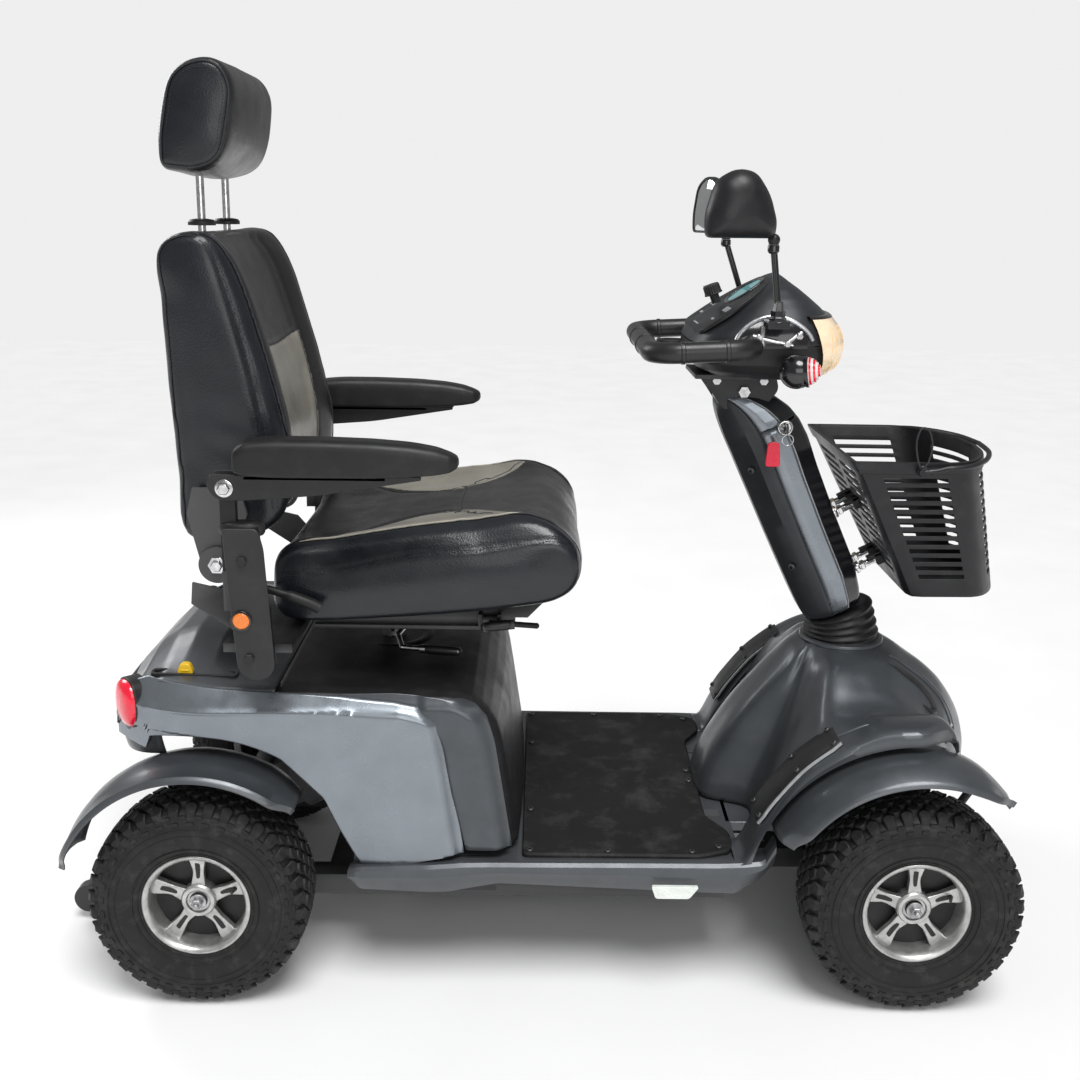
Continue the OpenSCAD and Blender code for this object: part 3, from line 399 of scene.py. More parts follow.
FINISHES = {
    "frame_black": finish("frame_black", (0.009, 0.009, 0.01), 0.42, grain=0.05, worn=0.2, dust=0.03,
                          shine=0.4),
    "battery_case": finish("battery_case", (0.03, 0.03, 0.034), 0.5, grain=0.08, dust=0.25),
    "control_alloy": finish("control_alloy", (0.5, 0.5, 0.51), 0.45, metal=0.9, grain=0.06, dust=0.3),
    "drive_casting": finish("drive_casting", (0.17, 0.17, 0.18), 0.6, metal=0.7, grain=0.3, dust=0.35),
    "dark_plastic": finish("dark_plastic", (0.07, 0.077, 0.085), 0.36, metal=0.45, shade=0.1, grain=0.02,
                           worn=0.12, coat=0.25, dust=0.04),
    "silver_plastic": finish("silver_plastic", (0.235, 0.262, 0.29), 0.3, metal=0.75, shade=0.07, grain=0.012,
                             grain_size=0.6, worn=0.15, coat=0.3, dust=0.03),
    "black_plastic": finish("black_plastic", (0.0095, 0.0095, 0.0105), 0.45, grain=0.07, grain_size=0.9,
                            worn=0.08, dust=0.03, shine=0.4),
    "mat_rubber": finish("mat_rubber", (0.009, 0.009, 0.0095), 0.6, grain=0.2, grain_size=1.6, dust=0.16,
                         shine=0.3, dust_colour=(0.2, 0.19, 0.18), dust_size=60),
    "screw_black": finish("screw_black", (0.01, 0.01, 0.01), 0.4, metal=0.5, worn=0.3),
    # reflector_white glows at 0.12: painted light on the sill reflectors, which give none of their own; the bar
    # lamps' white bands share it
    "reflector_white": clear_finish("reflector_white", (0.72, 0.76, 0.72), 0.25, 0.12, cells=0.8,
                                    cell_size=3.6),
    "lamp_red": clear_finish("lamp_red", (0.7, 0.005, 0.03), 0.18, 0.25, cells=0.5, cell_size=5.0),
    "lever_yellow": finish("lever_yellow", (0.8, 0.5, 0.01), 0.35, grain=0.03, dust=0.08),
    "tyre_rubber": finish("tyre_rubber", (0.0095, 0.0095, 0.01), 0.6, shade=0.25, grain=0.1, grain_size=1.4,
                          shine=0.35, dust=0.22, dust_colour=(0.13, 0.12, 0.11), dust_size=24),
    "rim_alloy": finish("rim_alloy", (0.52, 0.52, 0.51), 0.36, metal=0.85, shade=0.18, patch=16, grain=0.05,
                        dust=0.22, dust_colour=(0.16, 0.15, 0.13), dust_size=14),
    "bright_steel": finish("bright_steel", (0.7, 0.7, 0.71), 0.2, metal=1.0, patch=9, shade=0.25, grain=0.02,
                           dust=0.15, dust_colour=(0.2, 0.17, 0.14), dust_size=7),
    "post_steel": finish("post_steel", (0.42, 0.42, 0.43), 0.42, metal=0.9, patch=6, shade=0.45, grain=0.08),
    "bellows_rubber": finish("bellows_rubber", (0.009, 0.009, 0.01), 0.5, grain=0.08, dust=0.14, shine=0.4),
    "key_red": finish("key_red", (0.75, 0.006, 0.04), 0.3, grain=0.02, coat=0.4),
    "display_glass": clear_finish("display_glass", (0.16, 0.5, 0.53), 0.12, 0.15),
    "lamp_amber": clear_finish("lamp_amber", (0.85, 0.55, 0.24), 0.2, 0.22, cells=0.6, cell_size=5.5),
    "grip_rubber": finish("grip_rubber", (0.01, 0.01, 0.011), 0.42, grain=0.05, grain_size=1.0, coat=0.1),
    "gloss_black": finish("gloss_black", (0.009, 0.009, 0.011), 0.2, grain=0.008, coat=0.5, spread=0.05),
    "leather_navy": finish("leather_navy", NAVY, 0.33, shade=0.3, painted=True, cells=0.2, cell_size=2.6,
                           waves=0.12, grain=0.04, coat=0.12),
}
# the amber reflectors glow at 0.15: painted light, as a reflector gives no light of its own
AMBER = clear_finish("amber_reflector", (0.75, 0.18, 0.01), 0.3, 0.15, cells=0.7, cell_size=2.4)
SHELL = finish("shell_dark", (0.026, 0.029, 0.034), 0.42, metal=0.3, shade=0.12, grain=0.05, worn=0.08,
               dust=0.04)
SOFT_BLACK = finish("soft_black", (0.011, 0.011, 0.013), 0.4, grain=0.04, dust=0.04, shine=0.4)
SILVER_ARC = finish("silver_arc", (0.55, 0.56, 0.58), 0.28, metal=0.7, grain=0.02, worn=0.1)
LENS = clear_finish("headlamp_lens", (0.86, 0.68, 0.47), 0.18, 0.22, cells=0.5, cell_size=5.5)
MIRROR = clear_finish("mirror_glass", (0.82, 0.84, 0.85), 0.03, metal=1.0)
PALE = finish("pale_trim", (0.35, 0.36, 0.37), 0.5, grain=0.03, patch=12)
THREAD = finish("seam_thread", (0.02, 0.021, 0.026), 0.6, patch=5, shade=0.3)
PALE_PIPING = finish("pale_piping", (0.33, 0.31, 0.26), 0.5, patch=20, grain=0.05)


def refinish(piece, material):
    """Gives a piece one material instead of those that it has."""
    piece.data.materials.clear()
    piece.data.materials.append(material)
    return piece


for subpart in frame["record"]["subparts"]:
    refinish(nodes[subpart["node"]], FINISHES[subpart["material_slot"]])
    shaded = nodes[subpart["node"]].modifiers.new("edge", "BEVEL")
    shaded.width = 0.0008
    shaded.segments = 2
    shaded.angle_limit = math.radians(40)


def tint(piece, colour_at):
    """Paints a piece by a function of its points in millimetres."""
    layer = piece.data.color_attributes.new("tint", "FLOAT_COLOR", "POINT")
    for vertex, colour in zip(piece.data.vertices, layer.data):
        colour.color = (*colour_at(*(vertex.co * 1000)), 1)
    return piece


# the plain cushions show only until their pieces replace them
for name in ("seat_cushion", "backrest_cushion", "headrest_pad"):
    nodes[name].modifiers.remove(nodes[name].modifiers["edge"])

# ---------- camera, light and floor ----------


def add_camera():
    """The viewing angle: level with the handlebar, on the rider's right, looking a little down."""
    yaw, pitch, roll = 0.0017, 0.2271, -0.0123
    ahead = Vector((math.sin(yaw) * math.cos(pitch), math.cos(yaw) * math.cos(pitch), -math.sin(pitch)))
    right = Vector((math.cos(yaw), -math.sin(yaw), 0))
    down = ahead.cross(right)
    right, down = (math.cos(roll) * right + math.sin(roll) * down,
                   math.cos(roll) * down - math.sin(roll) * right)
    data = bpy.data.cameras.new("camera")
    camera = bpy.data.objects.new("camera", data)
    scene.collection.objects.link(camera)
    camera.matrix_world = Matrix.Translation((0.014, -1.9734, 1.2082)) @ Matrix(
        (right, -down, -ahead)).transposed().to_4x4()
    data.sensor_width = 36
    data.lens = 40.165
    data.shift_y = -0.0478
    data.clip_start = 0.02
    scene.camera = camera


def add_light(name, place, target, size, power):
    """A rectangular light aimed at a point."""
    data = bpy.data.lights.new(name, "AREA")
    data.shape = "RECTANGLE"
    data.size, data.size_y = size
    data.energy = power
    lamp = bpy.data.objects.new(name, data)
    scene.collection.objects.link(lamp)
    lamp.location = place
    lamp.rotation_euler = (Vector(target) - Vector(place)).to_track_quat("-Z", "Y").to_euler()


def add_world(seen, lit):
    """A pale studio: one brightness where the camera sees it, a lower one where it lights the object."""
    world = bpy.data.worlds.new("studio")
    scene.world = world
    world.use_nodes = True
    tree = world.node_tree
    path = add_node(tree, "ShaderNodeLightPath")
    choose = add_node(tree, "ShaderNodeMapRange", From_Min=0, From_Max=1, To_Min=lit, To_Max=seen)
    tree.links.new(path.outputs["Is Camera Ray"], choose.inputs["Value"])
    backdrop = tree.nodes["Background"]
    backdrop.inputs["Color"].default_value = (1, 1, 1, 1)
    tree.links.new(choose.outputs["Result"], backdrop.inputs["Strength"])


def add_stage():
    """Soft light from above, a fill from the camera's side, a rim light from behind and a pale floor."""
    add_world(0.86, 0.26)
    sky = bpy.data.lights.new("skylight", "SUN")
    sky.energy = 2.75
    sky.angle = math.radians(32)
    lamp = bpy.data.objects.new("skylight", sky)
    scene.collection.objects.link(lamp)
    lamp.rotation_euler = Vector((-0.15, 0.42, -1)).to_track_quat("-Z", "Y").to_euler()
    add_light("front_fill", (0.6, -3.0, 1.7), (0, 0, 0.5), (2.2, 1.4), 22)
    add_light("rear_rim", (-2.2, 1.4, 2.1), (0, 0, 0.7), (1.4, 1.2), 26)
    floor_data = bpy.data.meshes.new("floor")
    reach = 9
    floor_data.from_pydata([(-reach, -reach, 0), (reach, -reach, 0), (reach, reach, 0), (-reach, reach, 0)],
                           [], [(0, 1, 2, 3)])
    floor = bpy.data.objects.new("floor", floor_data)
    scene.collection.objects.link(floor)
    floor_data.materials.append(finish("pale_floor", (0.9, 0.9, 0.9), 0.6, shade=0.01, patch=400, grain=0.01))
    scene.view_settings.view_transform = "Standard"
    scene.view_settings.look = "None"


add_camera()
add_stage()

# ---------- wheels ----------

CROWN = [(76, -44), (83, -47), (92, -52), (108, -56), (126, -58), (142, -56), (152, -51), (158, -42),
         (161, -28), (162, -12)]


def tyre_height(width):
    """Radius of the tyre's casing under the tread, at that distance from its middle."""
    w = abs(width)
    return 162 - 3.5 * (w / 46) ** 2 - 9 * max(0, (w - 40) / 14) ** 2


def tread_block(angle, width, outline, rise, side_slope=0.82):
    """One tread block: outline of (along the tread, across), standing rise above the casing."""
    rings = []
    for lift, scale in ((-3, 1.0), (rise * 0.75, 0.96), (rise, side_slope)):
        ring = []
        for along, across in outline:
            w = width + across * scale
            r = tyre_height(w) + lift
            a = angle + along * scale / 165
            ring.append((r * math.cos(a), w, r * math.sin(a)))
        rings.append(ring)
    return loft(rings)


def tread():
    """Staggered diamonds on the crown, pointed blocks on the shoulders and small pads below them."""
    pitches = 38
    step = 2 * math.pi / pitches
    diamond = rounded([(-11, 0), (-4, -8.5), (4, -8.5), (11, 0), (4, 8.5), (-4, 8.5)], 2, 2)
    half = rounded([(-10, -1.2), (10, -1.2), (3.5, -8), (-3.5, -8)], 1.2, 2)
    shoulder = rounded([(-8, -9), (8, -9), (10, 2), (0, 9.5), (-10, 2)], 2, 2)
    pad = rounded([(-7, -3.2), (7, -3.2), (7, 3.2), (-7, 3.2)], 1, 2)
    shapes = []
    for i in range(pitches):
        a = i * step
        for side in (-1, 1):
            shapes.append(tread_block(a + step / 2, side * 13, [(p, side * q) for p, q in diamond], 7.5))
            shapes.append(tread_block(a, side * 1.8, [(p, -side * q) for p, q in half], 7.5))
            shapes.append(tread_block(a, side * 29, [(p, side * q) for p, q in diamond], 7.5))
            shapes.append(tread_block(a + step / 2, side * 43.5, [(p, -side * q) for p, q in shoulder], 7))
            shapes.append(low_pad(a, side, pad, 149.5, 52.5))
            shapes.append(low_pad(a + step / 2, side, pad, 140.5, 56.2))
    return join(*shapes)


def low_pad(angle, side, outline, radius, width):
    """A small pad on the side wall."""
    rings = []
    for lift, scale in ((-2.5, 1), (1.6, 0.85)):
        rings.append([((radius + q * scale) * math.cos(angle + p * scale / 150), side * (width + lift),
                       (radius + q * scale) * math.sin(angle + p * scale / 150)) for p, q in outline])
    return loft(rings)


def side_ring(radius, width, half, rise):
    """Section of a raised ring on the tyre's side wall."""
    return [(radius - half, width - 1), (radius - half * 0.4, width + rise),
            (radius + half * 0.4, width + rise), (radius + half, width - 1)]


def tyre_shape():
    """Casing, tread and the rings of its side walls."""
    casing = CROWN + [(r, -w) for r, w in CROWN[::-1]] + [(76, 0)]
    rings = [lathe([(r, side * w) for r, w in side_ring(radius, width, half, rise)], 0, 0, sides=96)
             for side in (-1, 1) for radius, width, half, rise in
             ((131, 56.6, 1.6, 2.0), (121, 56.3, 0.9, 1.8), (96, 52.0, 1.8, 2.6), (88, 49.4, 1.0, 1.6))]
    return join(lathe(casing, 0, 0, sides=96), tread(), *rings)


def rim_spoke(angle):
    """A cast spoke, drawn along +X and turned by angle, with a black patch on its face as painted shade for its
    long recess.
    """
    outer = rounded([(16, -12), (44, -8), (73, -14), (73, 14), (44, 8), (16, 12)], 5, 4)
    inner = rounded([(34, -2.6), (64, -4.2), (64, 4.2), (34, 2.6)], 2.4, 6)
    body = loft([[(x, w - bow(x), z) for x, z in outer] for w in (22, 31, 33)])
    # the black patch that paints the recess's shade, 0.3 mm proud of the spoke's face
    pocket_shade = loft([[(x, 33.3 - bow(x) - d, z) for x, z in inner] for d in (0, 4)])
    return moved(body, Matrix.Rotation(-angle, 4, "Y")), moved(pocket_shade, Matrix.Rotation(-angle, 4, "Y"))


def bow(x):
    """The spokes dip between the hub and the rim."""
    return 5 * math.sin(math.pi * min(max((x - 20) / 56, 0), 1))


def rim_shape():
    """Barrel, hub, and a ring behind the spokes, made black as painted shade for the gaps between them; widths
    grow outwards.
    """
    barrel = lathe([(70, -46), (76, -47), (82.5, -48), (82.5, -45), (77, -43), (76, 0), (77, 43), (82.5, 45),
                    (83, 48.5), (80.5, 49.5), (77, 48), (74, 44), (73, 36), (71, 28), (71.5, 0)], 0, 0,
                   sides=72)
    hub = lathe([(13.2, -20), (25, -20), (25, 12), (27, 20), (27, 33), (24.5, 36.5), (19, 37), (17.5, 33),
                 (13.2, 33)], 0, 0, sides=48)
    # a ring behind the spokes: in black it paints the shade seen through the gaps between them
    gap_shade_disc = lathe([(24, 8), (72, 10), (72, 14), (24, 12)], 0, 0, sides=60)
    return barrel, hub, gap_shade_disc


def add_wheel(name, x, side):
    """One wheel; side is 1 on the left and -1 on the right."""
    turn = Matrix.Translation((x, side * WHEEL_Y, WHEEL_Z))
    face = turn @ Matrix.Scale(side, 4, (0, 1, 0))
    body = "wheel_" + name
    make(name + "_tyre", moved(tyre_shape(), face), body, "tyre_rubber", "tyre_" + name, sharp=30)
    barrel, hub, gap_shade_disc = rim_shape()
    spokes = [rim_spoke(math.radians(90 + 72 * i)) for i in range(5)]
    make(name + "_rim", moved(join(barrel, hub), face), body, "rim_alloy", "rim_" + name, bevel=0.6)
    make(name + "_spokes", moved(join(*[s for s, p in spokes]), face), body, "rim_alloy", bevel=1.6,
         segments=3)
    # black patches on the spokes: painted shade for their recesses
    make(name + "_pockets", moved(join(*[p for s, p in spokes]), face), body, "black_plastic", bevel=0.4)
    # black ring behind the spokes: painted shade for the gaps between them
    make(name + "_backing", moved(gap_shade_disc, face), body, "black_plastic", bevel=0.3)
    bolts = [moved(spun([(3.2, 0), (3.2, 3), (2.4, 4)], (44, 12, 0), (0, 1, 0), 6),
                   Matrix.Rotation(math.radians(54 + 36 * i), 4, "Y")) for i in range(0, 10, 2)]
    nut = spun([(8.5, 0), (8.5, 6), (7, 7.5)], (0, 40, 0), (0, 1, 0), 6)
    washer = spun([(13, 0), (13, 3)], (0, 37, 0), (0, 1, 0), 32)
    axle = spun([(4.6, 0), (4.6, 13), (3.8, 14)], (0, 40, 0), (0, 1, 0), 20)
    make(name + "_fasteners", moved(join(nut, washer, axle, *bolts), face), body, "post_steel", bevel=0.4)
    valve = moved(tube([(63, 20, 0), (60, 30, 0), (55, 40, 0)], lambda t: 3.4 - 1.0 * (t > 0.4), 12),
                  Matrix.Rotation(math.radians(-18), 4, "Y"))
    make(name + "_valve", moved(valve, face), body, "black_plastic")


for place, x in (("front", FRONT_X), ("rear", REAR_X)):
    add_wheel(place + "_left", x, 1)
    add_wheel(place + "_right", x, -1)

# ---------- upholstery ----------


def profile_between(a, b, share):
    """An outline part of the way from one control outline to another of as many points."""
    return [(ax + (bx - ax) * share, az + (bz - az) * share) for (ax, az), (bx, bz) in zip(a, b)]


def inset(outline, depth):
    """The outline pulled towards its middle by about that depth."""
    cx = sum(p[0] for p in outline) / len(outline)
    cz = sum(p[1] for p in outline) / len(outline)
    return [(x - depth * (x - cx) / math.hypot(x - cx, z - cz),
             z - depth * (z - cz) / math.hypot(x - cx, z - cz))
            for x, z in outline]


def pad_shape(stations, steps=4):
    """A closed pad lofted across its width through (y, outline in X and Z) stations and their mirror images."""
    whole = stations + [(-y, outline) for y, outline in stations[::-1] if y]
    rings = []
    for y, outline in whole:
        curve = smooth_path([(x, 0, z) for x, z in outline], steps, closed=True)
        rings.append([(p.x, y, p.z) for p in curve])
    return loft(rings)


def upholster(name, shape, body, stand_in, swell, voxel=5.0, pinned=None):
    """A pad blown up by cloth simulation. No point moves further than swell, and pinned ones stay."""
    piece = make(name, shape, body, "leather_navy", stand_in)
    remesh = piece.modifiers.new("remesh", "REMESH")
    remesh.mode = "VOXEL"
    remesh.voxel_size = voxel / 1000
    depsgraph = bpy.context.evaluated_depsgraph_get()
    even = bpy.data.meshes.new_from_object(piece.evaluated_get(depsgraph))
    piece.modifiers.clear()
    piece.data = even
    rest = [v.co.copy() for v in even.vertices]
    group = piece.vertex_groups.new(name="pinned")
    group.add([i for i, p in enumerate(rest) if pinned and pinned(*(p * 1000))], 1.0, "REPLACE")
    cloth = piece.modifiers.new("cloth", "CLOTH")
    cloth.settings.quality = 4
    cloth.settings.use_pressure = True
    cloth.settings.uniform_pressure_force = 4
    cloth.settings.effector_weights.gravity = 0
    cloth.settings.vertex_group_mass = "pinned"
    cloth.settings.tension_stiffness = 12
    cloth.settings.bending_stiffness = 3
    for number in range(1, 21):
        scene.frame_set(number)
    blown = piece.evaluated_get(bpy.context.evaluated_depsgraph_get()).to_mesh()
    moved_to = [v.co.copy() for v in blown.vertices]
    piece.modifiers.clear()
    scene.frame_set(1)
    steps = np.array([(new - old) * 1000 for old, new in zip(rest, moved_to)])
    steps *= np.minimum(1, swell / np.maximum(np.linalg.norm(steps, axis=1), 1e-6))[:, None]
    for vertex, old, step in zip(even.vertices, rest, evened(even, steps)):
        vertex.co = old + Vector(step) / 1000
    even.shade_smooth()
    refinish(piece, FINISHES["leather_navy"])
    soften(piece)
    return piece


def evened(mesh, steps, rounds=30):
    """The steps, each averaged with those of its neighbours again and again."""
    ends = np.array([edge.vertices[:] for edge in mesh.edges])
    first, second = np.concatenate([ends[:, 0], ends[:, 1]]), np.concatenate([ends[:, 1], ends[:, 0]])
    count = np.bincount(first, minlength=len(steps))
    for _ in range(rounds):
        around = np.stack([np.bincount(first, steps[second, k], len(steps)) for k in range(3)], axis=1)
        steps = (steps + around / count[:, None]) / 2
    return steps


def soften(piece, rounds=5):
    """Smooths the steps that the remesh leaves."""
    build = bmesh.new()
    build.from_mesh(piece.data)
    for _ in range(rounds):
        bmesh.ops.smooth_vert(build, verts=build.verts, factor=0.5, use_axis_x=True, use_axis_y=True,
                              use_axis_z=True)
    build.to_mesh(piece.data)
    build.free()


def sew(piece, paths, depth=2.2, reach=6):
    """Pulls the skin in along seam paths."""
    points = [Vector(p) / 1000 for path in paths for p in path]
    tree = kdtree.KDTree(len(points))
    for i, p in enumerate(points):
        tree.insert(p, i)
    tree.balance()
    normals = [v.normal.copy() for v in piece.data.vertices]
    for vertex, normal in zip(piece.data.vertices, normals):
        distance = tree.find(vertex.co)[2] * 1000
        if distance < 2.5 * reach:
            vertex.co -= normal * depth * math.exp(-(distance / reach) ** 2) / 1000


def fine(piece):
    """One subdivision, applied."""
    piece.modifiers.new("round", "SUBSURF").levels = 1
    mesh = bpy.data.meshes.new_from_object(piece.evaluated_get(bpy.context.evaluated_depsgraph_get()))
    piece.modifiers.clear()
    piece.data = mesh
    mesh.shade_smooth()


def surface(piece):
    """The piece's skin, for laying seams on it."""
    return BVHTree.FromObject(piece, bpy.context.evaluated_depsgraph_get())


def laid(skin, path, spacing=2.5, lift=0.0, aside=0.0):
    """A path laid on a surface, evenly spaced, lifted off it and moved aside along it."""
    curve = [Vector(p) for p in smooth_path(path, 12)]
    even, left = [curve[0]], spacing
    for a, b in zip(curve, curve[1:]):
        length = (b - a).length
        while length > 0 and left <= length:
            a = a + (b - a) * (left / length)
            length -= left
            left = spacing
            even.append(a)
        left -= length
    made = []
    for i, p in enumerate(even):
        spot, normal, _, _ = skin.find_nearest(p / 1000)
        along = (even[min(i + 1, len(even) - 1)] - even[max(i - 1, 0)]).normalized()
        if aside:
            spot, normal, _, _ = skin.find_nearest(spot + normal.cross(along).normalized() * aside / 1000)
        made.append((spot * 1000 + normal * lift, normal))
    return made


def stitches(rows, length=3.4, radius=0.55):
    """Short raised stitches along laid rows."""
    shapes = []
    for row in rows:
        for (a, normal), (b, _) in zip(row[::2], row[1::2]):
            along = (b - a).normalized() * length / 2
            middle = (a + b) / 2 + normal * 0.25
            shapes.append(tube([middle - along, middle - along * 0.6 + normal * 0.25,
                                middle + along * 0.6 + normal * 0.25, middle + along], radius, 5))
    return join(*shapes)


def mirrored(path):
    """The same path on the other side."""
    return [(x, -y, z) for x, y, z in path]


def double_seam(name, piece_skin, paths, body, gap=4.5, spacing=2.8):
    """Two rows of stitches, one on each side of every path."""
    rows = [laid(piece_skin, path, spacing, 0, side * gap) for path in paths for side in (-1, 1)]
    thread = make(name + "_stitches", stitches(rows), body, "leather_navy")
    refinish(thread, THREAD)


def piping(name, skin, paths, body, material=None, radius=1.8, sink=0.6):
    """A cord sewn in along every path, thin at its ends."""
    rows = [[p for p, _ in laid(skin, path, 5, radius - sink)] for path in paths]
    cord = make(name, join(*[tube(row, lambda t: radius * min(1, 0.25 + 12 * min(t, 1 - t)), 10)
                             for row in rows]),
                body, "leather_navy")
    refinish(cord, material or THREAD)


# Seat cushion: outlines in X and Z at its side and along its piping
SEAT_SIDE = [(-378, 612), (-382, 645), (-370, 674), (-281, 688), (-191, 706), (-75, 722), (0, 730), (44, 731),
             (70, 712), (77, 686), (71, 658), (50, 640), (6, 627), (-132, 609), (-330, 597)]
SEAT_RIDGE = [(-384, 612), (-387, 660), (-378, 700), (-292, 716), (-180, 736), (-76, 750), (-5, 757),
              (42, 748), (72, 723), (83, 690), (77, 655), (54, 633), (8, 620), (-132, 605), (-335, 593)]


def seat_top(x):
    """Height of the cushion's top along its piping."""
    return float(np.interp(x, [-380, -292, -180, -76, -5, 42, 72, 83],
                           [700, 718, 740, 755, 762, 753, 728, 692]))


def dished(outline, depth, front=0.0):
    """The outline with its top lowered and its front moved."""
    return [(x + (front if x > 30 else 0), z - depth * (1 if z > 640 and -350 < x < 40 else 0.2))
            for x, z in outline]


def insert_edge(x):
    """Inner edge of the pale insert on each side of the seat, which narrows to a point at both ends."""
    share = min(max((x + 300) / 290, 0), 1)
    return 192 - 112 * math.sin(math.pi * share ** 1.25) ** 0.8


def seat_tint(x, y, z):
    """Colour of the seat at a point: navy sides, a pale insert on each side and a charcoal middle."""
    side = abs(y)
    if z < seat_top(x) - 30 and x < 40 or side > 196:
        return NAVY
    if z < 640 and x < 30:
        return NAVY
    if side > insert_edge(x) and -300 < x < -10:
        return GREIGE
    return CHARCOAL if x > -120 + 0.2 * side else DARK_PANEL


def add_seat():
    """The seat cushion, with its seams, piping and inserts."""
    stations = [(-243, inset(SEAT_SIDE, 9)), (-238, SEAT_SIDE),
                (-224, profile_between(SEAT_SIDE, SEAT_RIDGE, 0.75)), (-198, SEAT_RIDGE),
                (-165, dished(SEAT_RIDGE, 13, 2)), (-120, dished(SEAT_RIDGE, 19, 3)),
                (-60, dished(SEAT_RIDGE, 21, 4)), (0, dished(SEAT_RIDGE, 21, 5))]
    seat = upholster("seat_pad", pad_shape(stations), "seat", "seat_cushion", 9,
                     pinned=lambda x, y, z: z < 612 + 0.02 * (x + 132) and x < 30)
    side_seam = [(-372, -250, 676), (-281, -252, 691), (-191, -252, 711), (-75, -252, 727), (0, -251, 735),
                 (48, -247, 737), (66, -240, 728)]
    ridge = [(x, -200, seat_top(x) + 6) for x in (-350, -292, -180, -76, -5, 42)]
    ridge += [(70, -203, 728), (90, -208, 690), (84, -212, 652), (64, -214, 632)]
    cross = [(-118, -96, 760), (-121, -50, 760), (-122, 0, 760), (-121, 50, 760), (-118, 96, 760)]
    front = [(-118, -90, 760), (-90, -112, 762), (-50, -150, 766), (-14, -194, 768)]
    rear = [(-296, -188, 722), (-250, -130, 726), (-180, -86, 738), (-118, -82, 752)]
    seams = [side_seam, ridge, cross, front, rear]
    both = seams + [mirrored(path) for path in seams if path is not cross]
    skin = surface(seat)
    sew(seat, [[p for p, _ in laid(skin, path, 4)] for path in both])
    fine(seat)
    tint(seat, seat_tint)
    skin = surface(seat)
    double_seam("seat_side_seam", skin, [side_seam, mirrored(side_seam)], "seat")
    piping("seat_piping", skin, [ridge, mirrored(ridge)], "seat", radius=1.5)
    piping("seat_insert_piping", skin, [ridge[:5], mirrored(ridge[:5])], "seat", PALE_PIPING, radius=1.7,
           sink=0.0)
    piping("seat_panel_seams", skin, [cross, front, mirrored(front), rear, mirrored(rear)], "seat",
           radius=0.9, sink=0.9)


# Backrest: outlines at its side and along its piping
BACK_SIDE = [(-516, 720), (-527, 800), (-534, 900), (-538, 1000), (-539, 1080), (-536, 1146), (-518, 1166),
             (-484, 1172), (-458, 1162), (-438, 1100), (-419, 1020), (-404, 950), (-392, 877), (-381, 812),
             (-378, 762), (-400, 730), (-460, 716)]
BACK_RIDGE = [(-517, 718), (-529, 800), (-537, 900), (-541, 1000), (-541, 1080), (-537, 1148), (-516, 1172),
              (-478, 1178), (-449, 1162), (-422, 1108), (-394, 1022), (-373, 945), (-359, 868), (-359, 808),
              (-366, 756), (-394, 724), (-460, 712)]


def back_front(z):
    """X of the backrest's front along its piping."""
    return float(np.interp(z, [756, 808, 868, 945, 1022, 1108, 1162],
                           [-362, -355, -355, -369, -390, -418, -446]))


def back_tint(x, y, z):
    """Colour of the backrest: navy shell, dark bolsters, and a pale insert under a charcoal panel."""
    side = abs(y)
    if side > 186 or x < back_front(z) - 62:
        return NAVY
    if side > 128:
        return DARK_PANEL
    return GREIGE if z < 990 + 10 * (side / 128) ** 2 else CHARCOAL


def hollowed(outline, depth):
    """The outline with its front pulled back, as between the side bolsters."""
    return [(x - (depth if x > -455 and z > 740 else 0), z) for x, z in outline]


